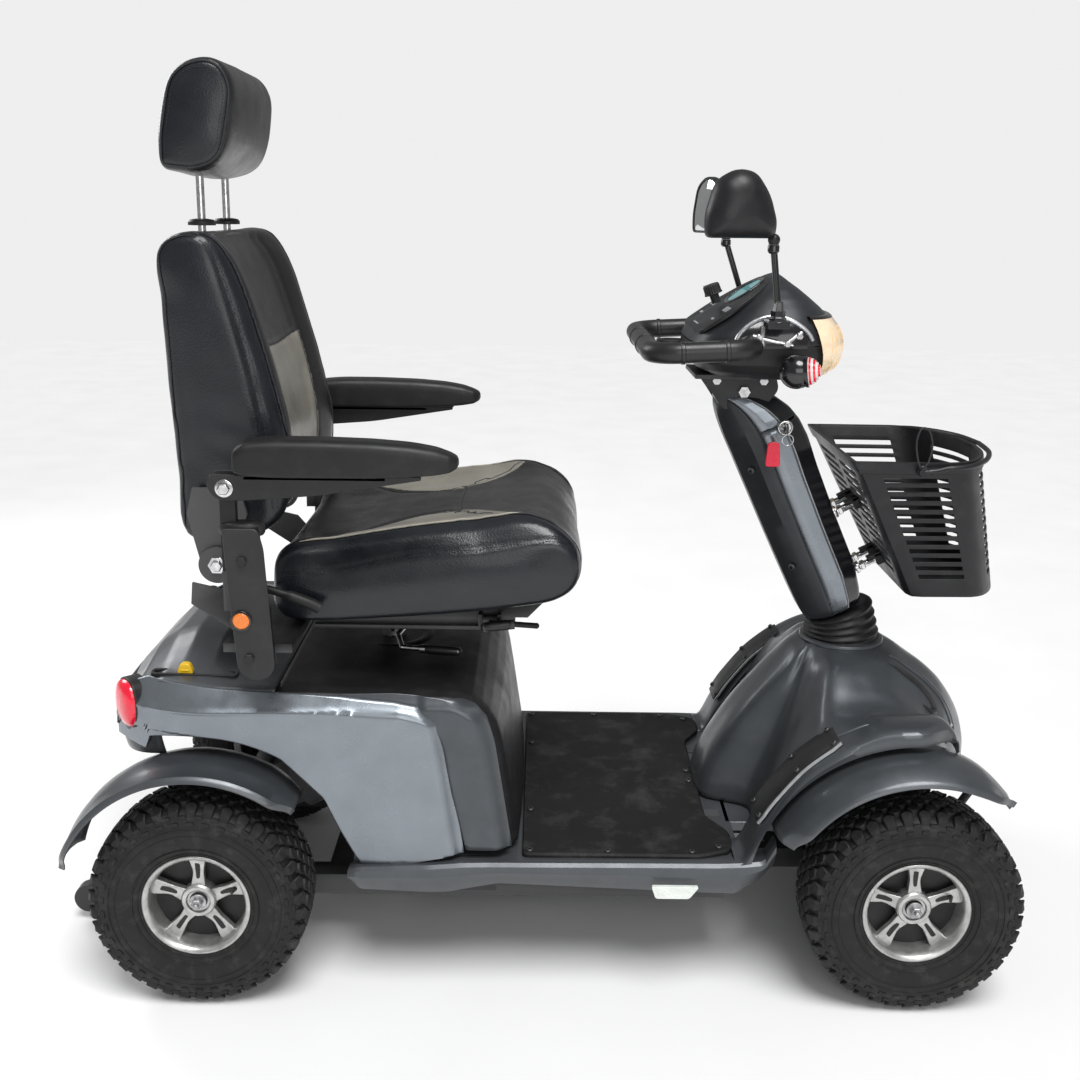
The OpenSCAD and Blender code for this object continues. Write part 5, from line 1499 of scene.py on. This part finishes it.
# ignition key: barrel, blade head and a red tag on a split ring
key_place = on_tiller(33, -64, 378)
make("key_barrel", spun([(13, -4), (13, 1), (11.5, 3), (9.8, 3.4), (9.2, 2), (5.2, 1.6)], key_place,
                        (0, -1, 0), 32),
     "tiller", "bright_steel", "key_switch", bevel=0.3)
kx, _, kz = key_place
blade = prism(rounded([(kx - 8, kz - 9), (kx + 8, kz - 9), (kx + 9, kz + 9), (kx - 9, kz + 9)], 5), -1.6, 1.6)
key_head = moved(blade, Matrix.Translation((kx, -78, kz)) @ Matrix.Rotation(math.radians(90), 4, "Z")
                 @ Matrix.Translation((-kx, 0, -kz)))
tag = prism(rounded([(380, 852), (398, 852), (401, 812), (377, 812)], 6), -86.5, -83)
ring = tube([(kx + 1 + 9 * math.cos(a), -84.8 - 1.2 * math.sin(a), kz - 16 + 9 * math.sin(a))
             for a in np.linspace(0, 2 * math.pi, 25)[:-1]], 0.9, 8, closed=True)
make("key_blade", join(key_head, rod((kx, -62, kz), (kx, -72, kz), 4.6)), "ignition_key", "key_red", "key",
     bevel=0.8)
refinish(bpy.data.objects["key_blade"], FINISHES["gloss_black"])
make("key_tag", tag, "ignition_key", "key_red", bevel=0.9)
refinish(make("key_ring", ring, "ignition_key", "key_red"), FINISHES["bright_steel"])

# ---------- console ----------

CONSOLE = [(953, 312, 452, 88), (957, 286, 468, 108), (966, 266, 482, 124), (980, 254, 490, 136),
           (996, 249, 494, 141), (1012, 250, 494, 142), (1024, 256, 491, 141), (1036, 271, 485, 137),
           (1050, 291, 474, 129), (1064, 312, 460, 119), (1078, 334, 443, 106), (1092, 355, 425, 89),
           (1103, 372, 409, 68), (1110, 384, 400, 44), (1113.5, 390, 395, 18)]


def console_level(z):
    """Rear, front and half-width of the console at a height."""
    return [between(z, [(row[0], row[k]) for row in CONSOLE]) for k in (1, 2, 3)]


def console_point(z, turn, grow=0.0):
    """A point on the console at a height and an angle from straight ahead."""
    rear, front, hw = console_level(z)
    rear, front, hw = rear - grow, front + grow, hw + grow
    c, s = math.cos(turn), math.sin(turn)
    n = 2.5 if c > 0 else 3.6
    x = (rear + front) / 2 + math.copysign(abs(c) ** (2 / n), c) * (front - rear) / 2
    return x, hw * math.copysign(abs(s) ** (2 / n), s), z


def console_skin(low, high, grow=0.0, steps=30, ends=False):
    """The console's skin between two heights."""
    rings = [[console_point(z, t, grow) for t in np.linspace(0, 2 * math.pi, 73)[:-1]]
             for z in np.linspace(low, high, steps)]
    return loft(rings, caps=ends)


make("console_lower", console_skin(953, CONSOLE_SPLIT - 1, ends=True), "tiller", "black_plastic",
     "console_shell", sharp=50)
make("console_hood", console_skin(CONSOLE_SPLIT + 1, 1113.5, steps=44, ends=True), "tiller", "dark_plastic",
     sharp=50)
refinish(bpy.data.objects["console_hood"], SHELL)
make("console_seam", console_skin(CONSOLE_SPLIT - 3, CONSOLE_SPLIT + 3, -2.5, 4, True), "tiller",
     "gloss_black")


def on_panel(s, y, rise):
    """A point on the sloping control panel: s up the slope from its rear edge."""
    along, up = math.cos(PANEL_SLOPE), math.sin(PANEL_SLOPE)
    return 257 + s * along - rise * up, y, 1022 + s * up + rise * along


def panel_plate(outline, low, high):
    """A plate on the control panel, between two heights over it."""
    return loft([[on_panel(s, y, rise) for s, y in outline] for rise in (low, high)])


dash = rounded([(4, -104), (60, -112), (118, -84), (150, -46), (150, 46), (118, 84), (60, 112), (4, 104)],
               22, 6)
make("dash_panel", panel_plate(dash, -3, 3.4), "tiller", "black_plastic", bevel=1.6)
leaf = rounded([(76, -30), (104, -44), (138, -30), (146, 0), (138, 30), (104, 44), (76, 30), (70, 0)], 12, 5)
leaf_inner = [(106 + (s - 106) * 0.84, y * 0.84) for s, y in leaf]
make("display_bezel", loft([[on_panel(s, y, h) for s, y in ring] for ring, h in
                            ((leaf, 2), (leaf, 5.5), (leaf_inner, 6.2), (leaf_inner, 3))]), "tiller",
     "gloss_black", bevel=0.6)
make("display_window", panel_plate(leaf_inner, 1, 4.6), "tiller", "display_glass", "display", bevel=0.4)
marks = []
for k in (-2, -1, 1, 2):
    low, high = 40 - 3 * abs(k), 45 - 3 * abs(k)
    y0, y1 = 34 * k - 10, 34 * k + 10
    marks.append(panel_plate(rounded([(low, y0), (high, y0), (high, y1), (low, y1)], 1.5, 2), 3, 3.9))
marks.insert(2, panel_plate([(14, -26), (17, -26), (17, 26), (14, 26)], 3, 3.8))
for y in (-78, -58, 58, 78):
    marks.append(panel_plate(rounded([(56, y - 7), (68, y - 7), (68, y + 7), (56, y + 7)], 4, 3), 3, 4.6))
refinish(make("dash_marks", join(*marks), "tiller", "black_plastic", bevel=0.3), PALE)
dial_ribs = [(13.2 + (0.8 if k % 2 else 0), math.radians(k * 7.5)) for k in range(48)]
dial_place, dial_axis = Vector((296, 0, 1076)), Vector((-0.35837, 0, 0.93358))
dial_turn = Vector((0, 0, 1)).rotation_difference(dial_axis).to_matrix().to_4x4()
dial_rings = [[(r * s * math.cos(a), r * s * math.sin(a), h) for r, a in dial_ribs]
              for h, s in ((3, 1.06), (5, 1.06), (6, 1.0), (17, 0.97), (19.4, 0.86), (20, 0.5))]
make("dial_knob", join(moved(loft(dial_rings), Matrix.Translation(dial_place) @ dial_turn),
                       rod(dial_place - dial_axis * 11.5, dial_place + dial_axis * 4, 7.6)),
     "dial", "black_plastic", "speed_dial", bevel=0.3)
refinish(make("dial_pointer", moved(block((-12.4, -1, 19.9), (-3, 1, 20.8)),
                                    Matrix.Translation(dial_place) @ dial_turn), "dial", "black_plastic"),
         PALE)

# headlamp that wraps round the nose, with a dark lip above and below it


def console_band(z0, z1, reach, grow0, grow1, steps=8):
    """A band round the nose; reach is how far it turns to each side, at its foot and at its top."""
    def turns(z):
        """Angles round the band at a height."""
        half = np.radians(reach[0] + (reach[1] - reach[0]) * (z - z0) / (z1 - z0))
        return np.linspace(-half, half, 41)
    outer = [[console_point(z, t, grow1 - 3 * ((z - (z0 + z1) / 2) / (z1 - z0)) ** 2) for t in turns(z)]
             for z in np.linspace(z0, z1, steps)]
    inner = [[console_point(z, t, grow0) for t in turns(z)] for z in np.linspace(z1, z0, steps)]
    return loft(outer + inner, wrap=False, close=True)


make("headlamp", console_band(951, 1050, (52, 66), -5, 6.5, 14), "tiller", "lamp_amber", "front_lamps",
     sharp=50)
refinish(bpy.data.objects["headlamp"], LENS)
make("headlamp_lip", console_band(1050, 1054.5, (68, 69), -5, 7), "tiller", "gloss_black", sharp=50)
make("headlamp_foot", console_band(946, 951, (50, 52), -12, 5), "tiller", "gloss_black", sharp=50)
lamp_ribs = [tube([console_point(z, math.radians(a), 6.2 - 3 * ((z - 998) / 92) ** 2)
                   for z in np.linspace(960, 1038, 9)], 1.0, 6) for a in range(-48, 49, 6)]
make("headlamp_ribs", join(*lamp_ribs), "tiller", "lamp_amber")

# side openings: a dark recess, a silver arc above it, and the switch gear inside
recess, arcs, gear = [], [], []


def console_side(x, z, out):
    """Half-width of the console at a place along it and a height, and some way out of it."""
    rear, front, hw = console_level(z)
    c = (x - (rear + front) / 2) / ((front - rear) / 2)
    n = 2.5 if c > 0 else 3.6
    return hw * max(0.0, 1 - abs(c) ** n) ** (1 / n) + out


def arc_height(x):
    """Height of the silver arc over the switch gear, x from the rider's end to the lamp."""
    return 1016 + 38 * max(0.0, math.sin(math.pi * (x - 312) / 118)) ** 0.6


for side in (-1, 1):
    columns = []
    for x in np.linspace(320, 422, 18):
        rise = np.linspace(1006, arc_height(x) - 2, 9)
        columns.append([(x, side * console_side(x, z, -6), z) for z in rise]
                       + [(x, side * console_side(x, z, 1.2), z) for z in rise[::-1]])
    recess.append(loft(columns))
    arcs.append(tube([(x, side * console_side(x, arc_height(x), 2), arc_height(x))
                      for x in np.linspace(312.5, 429.5, 36)], 3.4, 10))
    for x0, z0, x1, z1, r in ((336, 1026, 398, 1012, 3.4), (384, 1012, 412, 1032, 3),
                              (352, 1010, 352, 1040, 4)):
        gear.append(rod((x0, side * console_side(x0, z0, 3), z0),
                        (x1, side * console_side(x1, z1, 3), z1), r, 10))
    for x, z in ((346, 1024), (390, 1014), (408, 1026)):
        gear.append(spun([(6, -3), (6, 4.4), (4.6, 5.8)], (x, side * console_side(x, z, 1), z),
                         (0, side, 0), 6))
make("console_openings", join(*recess), "tiller", "gloss_black", bevel=0.6)
refinish(make("console_arcs", join(*arcs), "tiller", "silver_plastic"), SILVER_ARC)
make("switch_gear", join(*gear), "tiller", "bright_steel", bevel=0.3)

# ---------- handlebar fittings, bar lamps, bracket ----------


def bar_ring(x, y, along, radius=17.4, length=7):
    """A ring round the handlebar, on its sloping middle line."""
    place = Vector((x, y, BAR_Z + (x - BAR_X) * math.tan(BAR_SLOPE)))
    return spun([(radius - 1.5, -length / 2), (radius, -length / 2 + 1), (radius, length / 2 - 1),
                 (radius - 1.5, length / 2)], place, along, 32)


forward = (math.cos(BAR_SLOPE), 0, math.sin(BAR_SLOPE))
rings = [bar_ring(x, side * 190, forward) for x in (226, 292) for side in (-1, 1)]
rings += [bar_ring(BAR_X, side * 60, (0, 1, 0)) for side in (-1, 1)]
make("bar_joints", join(*rings), "tiller", "grip_rubber", bevel=0.4)
make("bar_ends", join(*[bar_ring(336, side * 124, (0, 1, 0), 18.5, 9) for side in (-1, 1)]), "tiller",
     "gloss_black", bevel=0.5)

lamp_bodies, lamp_red, lamp_white = [], [], []
for side in (-1, 1):
    place, ahead = Vector((400, side * 172, 976)), Vector((0.94, side * 0.3, 0.1)).normalized()
    ball = [(26 * math.sin(a), -26 * math.cos(a)) for a in np.linspace(0.12, 2.05, 14)]
    lamp_bodies.append(spun(ball + [(24.5, 15), (24.5, 18), (21, 18.5)], place, ahead, 40))
    lamp_bodies.append(rod((396, side * 138, 980), (398, side * 160, 977), 8))
    for k in range(6):
        start = place + ahead * (16 + 3.2 * k)
        shape = spun([(21.5 - 0.5 * k * k, 0), (21.2 - 0.5 * k * k, 3.2)], start, ahead, 40)
        (lamp_red if k % 2 else lamp_white).append(shape)
make("bar_lamp_bodies", join(*lamp_bodies), "tiller", "gloss_black", bevel=0.5)
refinish(make("bar_lamp_red", join(*lamp_red), "tiller", "lamp_amber"), FINISHES["lamp_red"])
refinish(make("bar_lamp_white", join(*lamp_white), "tiller", "lamp_amber"), FINISHES["reflector_white"])
bolts = [spun([(11, -2), (11, 5), (9.5, 6.5)], (345, side * 41, 926), (0, side, 0), 6) for side in (-1, 1)]
bolts += [spun([(8, -2), (8, 4), (7, 5)], (x, side * 41, 944), (0, side, 0), 6) for x in (300, 376)
          for side in (-1, 1)]
make("bracket_bolts", join(*bolts), "tiller", "bright_steel", bevel=0.4)
gusset = [prism(rounded([(268, 957), (394, 957), (402, 930), (376, 896), (312, 896), (292, 926)], 10),
                side * 33, side * 41) for side in (-1, 1)]
make("bracket_plates", join(*gusset, block((262, -66, 949), (400, 66, 956.5))), "tiller", "frame_black",
     "head_bracket", bevel=1.2)

# ---------- mirrors ----------


def mirror_outline(scale):
    """Outline of a mirror head, scaled about its middle."""
    plan = rounded([(0, 2), (104, 2), (106, 34), (92, 84), (60, 101), (32, 96), (10, 66), (-3, 24)],
                   [9, 9, 26, 26, 20, 26, 26, 20], 6)
    return [(54 + (y - 54) * scale, 46 + (z - 46) * scale) for y, z in plan]


def mirror_shell():
    """The back shell of a mirror head."""
    rings = [(-6.5, 0.9), (-9.5, 0.93), (-9.8, 0.985), (-7, 1.0), (2, 1.0), (11, 0.94), (20, 0.8), (27, 0.58),
             (31, 0.3)]
    return loft([[(x, y, z) for y, z in mirror_outline(s)] for x, s in rings])


foot = join(spun([(9 * math.sin(a), -9 * math.cos(a)) for a in np.linspace(0.9, 2.9, 12)], (0, 0, 0),
                 (0, 0, 1)),
            spun([(7.5, -7), (7.5, -1)], (0, 0, 0), (0, 0, 1)))
left_place = Matrix.Translation(LEFT_MIRROR) @ Matrix.Rotation(math.radians(22), 4, "Z")
right_place = (Matrix.Translation(RIGHT_MIRROR) @ Matrix.Diagonal((1, -1, 1, 1))
               @ Matrix.Rotation(math.radians(80), 4, "Z"))
glass = loft([[(x, y, z) for y, z in mirror_outline(s)] for x, s in ((-7.4, 0.9), (-8.2, 0.9), (-8.6, 0.87))])
for place, body, node in ((left_place, "mirror_l", "mirror_left"), (right_place, "mirror_r", "mirror_right")):
    refinish(make(node + "_shell", moved(join(mirror_shell(), foot), place), body, "gloss_black", node,
                  sharp=40),
             SOFT_BLACK)
    refinish(make(node + "_glass", moved(glass, place), body, "gloss_black", sharp=20), MIRROR)
nuts = []
for side in (-1, 1):
    base = Vector((368, side * 168, 1056))
    nuts.append(spun([(13, -6), (13, 0), (11, 1.5), (10, 8), (8, 12), (7, 22), (6, 24)], base, (0, 0, 1), 6))
    nuts.append(spun([(15, -15), (15, -6), (12, -4)], base, (0, 0, 1), 24))
for place in (LEFT_MIRROR, RIGHT_MIRROR):
    nuts.append(spun([(6, -20), (8.6, -17), (8.6, -9), (7.8, -7.4), (0.5, -7.4)], place, (0, 0, 1), 24))
make("stalk_nuts", join(*nuts), "tiller", "gloss_black", bevel=0.5)

# ---------- front basket ----------


def basket_plan(z):
    """Rear X, front X and half-width of the basket at a height."""
    t = (z - BASKET_FLOOR) / (BASKET_TOP - BASKET_FLOOR)
    return 612 + (500 - 612) * t, 778 + (737 - 778) * t, 122 + (168 - 122) * t


def basket_point(z, share, grow=0.0):
    """A point round the basket at a height; share runs from the back over the right side to the front."""
    rear, front, hw = basket_plan(z)
    rear, front, hw = rear - grow, front + grow, hw + grow
    nose, corner = 0.6 * hw, 20
    line = [(rear, 0), (rear, -hw + corner), (rear + corner, -hw), (front - nose * 0.9, -hw * 0.985),
            (front - 0.42 * nose, -hw * 0.8), (front - 0.1 * nose, -hw * 0.42), (front, 0)]
    stops = [0, 0.2, 0.26, 0.62, 0.74, 0.88, 1]
    k = min(int(np.searchsorted(stops, share, side="right")) - 1, len(line) - 2)
    t = (share - stops[k]) / (stops[k + 1] - stops[k])
    points = [Vector((*p, 0)) for p in line]
    a, b, c, d = (points[min(max(k + i, 0), len(points) - 1)] for i in (-1, 0, 1, 2))
    if k in (0, 2):
        p = b + (c - b) * t
    else:
        p = 0.5 * ((2 * b) + (c - a) * t + (2 * a - 5 * b + 4 * c - d) * t * t
                   + (3 * b - a - 3 * c + d) * t ** 3)
    return p.x, p.y, z


SLOT_ROWS = 12
ROWS = [BASKET_FLOOR, 616, 630]
for k in range(SLOT_ROWS):
    ROWS += [640 + 14.9 * k, 640 + 14.9 * k + 7.6]
ROWS += [822, BASKET_TOP]
SLOT_BANKS = [(0.02, 0.17), (0.3, 0.6), (0.77, 0.97)]


def basket_wall():
    """One half of the wall: bars between rows of slots with round ends."""
    cuts = sorted({0.0, 1.0, *[v for bank in SLOT_BANKS for v in bank],
                   *[bank[0] + 0.008 for bank in SLOT_BANKS], *[bank[1] - 0.008 for bank in SLOT_BANKS]})
    columns = []
    for a, b in zip(cuts, cuts[1:]):
        steps = max(1, round((b - a) / 0.03))
        columns += [a + (b - a) * i / steps for i in range(steps)]
    columns.append(1.0)
    points = [[basket_point(z, share) for share in columns] for z in ROWS]
    faces = []
    wide = len(columns)
    for r in range(len(ROWS) - 1):
        slot_row = r in range(3, 3 + 2 * SLOT_ROWS, 2)
        for c in range(wide - 1):
            middle = (columns[c] + columns[c + 1]) / 2
            open_here = slot_row and any(a < middle < b for a, b in SLOT_BANKS)
            if not open_here:
                faces.append([r * wide + c, r * wide + c + 1, (r + 1) * wide + c + 1, (r + 1) * wide + c])
    return [p for row in points for p in row], faces


def basket_loop(z, grow):
    """The basket's whole outline at a height."""
    half = [basket_point(z, i / 60, grow) for i in range(61)]
    return half + [(x, -y, z) for x, y, _ in half[-2:0:-1]]


floor_rings = [basket_loop(BASKET_FLOOR, -1), basket_loop(BASKET_FLOOR - 2, -8),
               basket_loop(BASKET_FLOOR - 2, -30)]
floor_rings.append([(BASKET_MIDDLE_X + (x - BASKET_MIDDLE_X) * 0.3, y * 0.3, z)
                    for x, y, z in floor_rings[-1]])
basket_floor = loft(floor_rings)
hooks = []
for w in (92, 197):
    for y in (-31, 17):
        for u0, u1, w0, w1 in ((80, 106, 10.5, 16), (92, 106, -4, 16)):
            corner = [(u0, y, w + w0), (u1, y, w + w0), (u1, y + 14, w + w0), (u0, y + 14, w + w0)]
            hooks.append(loft([[on_tiller(u, v, w + h) for u, v, _ in corner] for h in (w0, w1)]))
make("basket_wall", join(both_sides(basket_wall()), basket_floor), "front_basket", "black_plastic", "basket",
     bevel=0.9, thick=3.6, sharp=50)
rim = loft([basket_loop(z, g) for z, g in ((819, 0.3), (820, 2.6), (834, 3.2), (838, 2.4), (839, -0.5),
                                           (837, -3.4), (820, -3.8))], caps=False, close=True)
make("basket_rim", rim, "front_basket", "black_plastic", sharp=40)
make("basket_hooks", join(*hooks), "front_basket", "black_plastic", bevel=1)
rivets = [spun([(9, -2), (9, 4), (7.5, 5.5), (3.5, 5.8)], (HANDLE_X, side * 170, HANDLE_Z), (0, side, 0), 24)
          for side in (-1, 1)]
make("basket_rivets", join(*rivets), "front_basket", "black_plastic", bevel=0.4)
handle = []
for share in np.linspace(0.4, 1, 26):
    x, y, _ = basket_point(BASKET_TOP, share, 11)
    handle.append((x, y, HANDLE_Z + 3 + 0.06 * (x - HANDLE_X)))
handle = ([(HANDLE_X, -HANDLE_Y, HANDLE_Z), (620, -HANDLE_Y, HANDLE_Z + 1.5)]
          + [p for p in handle if p[0] > 640])
handle += [(x, -y, z) for x, y, z in handle[-2::-1]]
eyes = [spun([(8, -3), (8, 3)], (HANDLE_X, side * HANDLE_Y, HANDLE_Z), (0, side, 0), 20) for side in (-1, 1)]
make("carry_handle_tube", join(tube(smooth_path(handle, 4), 4.2, 10), *eyes), "carry_handle", "black_plastic",
     "basket_handle", bevel=0.3)
loop = smooth_path([(598, -178, 828), (590, -181, 846), (586, -181, 872), (592, -180, 893), (604, -179, 890),
                    (611, -179, 868), (608, -178, 844), (602, -178, 832)], 6)
make("basket_wire", tube(loop, 1.6, 8), "front_basket", "black_plastic")
for piece in ("basket_wall", "basket_rim", "basket_hooks", "basket_rivets", "carry_handle_tube"):
    refinish(bpy.data.objects[piece], SOFT_BLACK)

# ---------- armrests ----------

PAD_STATIONS = [(-414, 26, 850, 872, 12), (-409, 29, 846, 880, 14), (-396, 30, 842, 888, 15),
                (-360, 29.5, 840, 891, 15), (-290, 29, 840, 891, 15), (-220, 28, 840, 889, 15),
                (-165, 26.5, 842, 885, 15), (-130, 24, 845, 879, 14), (-110, 20, 848, 872, 11),
                (-100, 13, 853, 867, 7), (-97.5, 6, 857, 862, 3)]


def pad_ring(x, hw, low, high, corner):
    """Section of an arm pad at X, with a crowned top."""
    section = rounded([(-hw, low), (hw, low), (hw * 0.985, high), (-hw * 0.985, high)],
                      [5, 5, corner, corner], 7)
    crown = 2.5
    return [(x, ARM_Y + y, z + crown * max(0, 1 - (y / max(hw, 1)) ** 2) * (z > (low + high) / 2))
            for y, z in section]


stations = []
for x in np.concatenate([np.linspace(-414, -396, 5), np.linspace(-380, -130, 18),
                         np.linspace(-122, -97.5, 10)]):
    stations.append([x] + [between(x, [(row[0], row[k]) for row in PAD_STATIONS]) for k in (1, 2, 3, 4)])
pad = loft([pad_ring(*row) for row in stations])


def arm_bracket():
    """Flat tapered channel under the pad, with a rounded eye at the pivot."""
    outline = rounded([(-448, 842), (-453, 824), (-440, 805), (-402, 804), (-300, 812), (-150, 836),
                       (-150, 841), (-405, 841)], [6, 14, 14, 12, 20, 3, 3, 3], 6)
    plates = [prism(outline, ARM_Y + a, ARM_Y + b) for a, b in ((10, 14), (-18, -14))]
    return join(*plates, block((-400, ARM_Y - 18, 834), (-200, ARM_Y + 14, 839.5)))


for name, flip in (("left", lambda shape: shape), ("right", flipped)):
    body = "arm_" + name
    make("arm_pad_" + name, flip(pad), body, "black_plastic", "armrest_" + name, sharp=60)
    bpy.data.objects["arm_pad_" + name].modifiers.new("soft", "SUBSURF").render_levels = 1
    make("arm_channel_" + name, flip(arm_bracket()), body, "frame_black", bevel=0.8)
    bolt = join(spun([(13, 0), (13, 1.6), (11.8, 2.2)], (ARM_PIVOT[0], ARM_Y + 14.3, ARM_PIVOT[1]),
                     (0, 1, 0), 32),
                spun([(8.6, 2), (8.6, 7), (7.4, 8)], (ARM_PIVOT[0], ARM_Y + 14.3, ARM_PIVOT[1]), (0, 1, 0),
                     6))
    make("arm_bolt_" + name, flip(bolt), body, "bright_steel", bevel=0.4)

# sleeves, collars, bolts and reflectors on the seat's side brackets
bracket = rounded([(-430, 767), (-380, 767), (-372, 740), (-362, 560), (-372, 545), (-389, 540), (-405, 545),
                   (-416, 560), (-426, 700)], [7, 7, 10, 12, 10, 10, 10, 10, 20], 6)
sleeve = prism(bracket, 337, BRACKET_FACE_Y)
collar = loft([[(-407 + r * math.cos(a), 314 + 0.55 * r * math.sin(a), z)
                for a in np.linspace(0, 2 * math.pi, 33)[:-1]]
               for r, z in ((30, 752), (33, 756), (33, 764), (30, 769), (25, 771))])
reflector_place = (-407, BRACKET_FACE_Y, 632)
reflector = spun([(12, 0), (12, 3.5), (10, 5)], reflector_place, (0, 1, 0), 32)
reflector_ring = spun([(15, 0), (15, 3.6), (12.2, 4.2), (12.2, 1)], reflector_place, (0, 1, 0), 32)
bolts = [spun([(7.5, 0), (7.5, 4), (6.4, 5)], (x, BRACKET_FACE_Y, z), (0, 1, 0), 6)
         for x, z in ((-398, 575), (-403, 720))]
make("arm_post_covers", both_sides(sleeve), "seat", "frame_black", bevel=1.4)
make("arm_post_collars", both_sides(collar), "seat", "black_plastic", bevel=0.6, sharp=50)
# the seat reflectors' glow is painted light
refinish(make("seat_reflectors", both_sides(reflector), "seat", "lamp_amber"), AMBER)
make("reflector_rings", both_sides(reflector_ring), "seat", "gloss_black", bevel=0.4)
make("bracket_screws", both_sides(join(*bolts)), "seat", "screw_black", bevel=0.3)
hinge_bolts = [spun([(14, 0), (14, 2), (9, 2.4), (9, 7), (7.8, 8)], (-466, side * 239, 683), (0, side, 0), 6)
               for side in (-1, 1)]
make("recline_bolts", join(*hinge_bolts), "seat", "bright_steel", bevel=0.4)

# ---------- levers and seat post ----------

recline = smooth_path([(-404, -262, 652), (-390, -264, 655), (-368, -265, 650), (-345, -265, 642),
                       (-322, -265, 633), (-308, -265, 626)], 6)
make("recline_rod", join(tube(recline, lambda t: 6.2 + 2.6 * ease((t - 0.45) / 0.12), 16),
                         spun([(9, 0), (10, 3), (10, 18), (8, 20)], (-404, -247, 652), (0, -1, 0), 24)),
     "recline_release", "black_plastic", "recline_lever", bevel=0.5)
bullet = [(4.6, 0), (6.6, 3), (7.6, 10), (7.8, 40), (7.2, 56), (5.4, 62), (2.4, 65)]
make("swivel_grip", spun(bullet, (-172, -108.5, 505), (0.994, -0.1, -0.03), 24), "swivel_release",
     "grip_rubber", sharp=60)
slide_grip = [(4.6, 0), (7, 4), (8, 12), (8, 34), (7, 44), (4.5, 49), (2, 50.5)]
make("slide_grip", spun(slide_grip, (-22, -205, 583.5), (-0.99, -0.06, -0.1), 24), "slide_release",
     "grip_rubber", sharp=60)
# the post's holes, drawn as black discs: painted shade for the dark inside of each hole
post_holes = [spun([(3.6, -0.6), (3.6, 0.5)], (POST_X, -20.7, 507 + 12 * k), (0, -1, 0), 20)
              for k in range(3)]
refinish(make("post_holes", join(*post_holes), "seat_column", "post_steel"), FINISHES["gloss_black"])
swivel_skirt = [(28, -3), (30, 0), (30, 24), (33, 28), (58, 30), (58, 33)]
make("swivel_collar", spun(swivel_skirt, (POST_X, 0, 519), (0, 0, 1), 48), "seat_swivel_base", "frame_black",
     bevel=0.5)
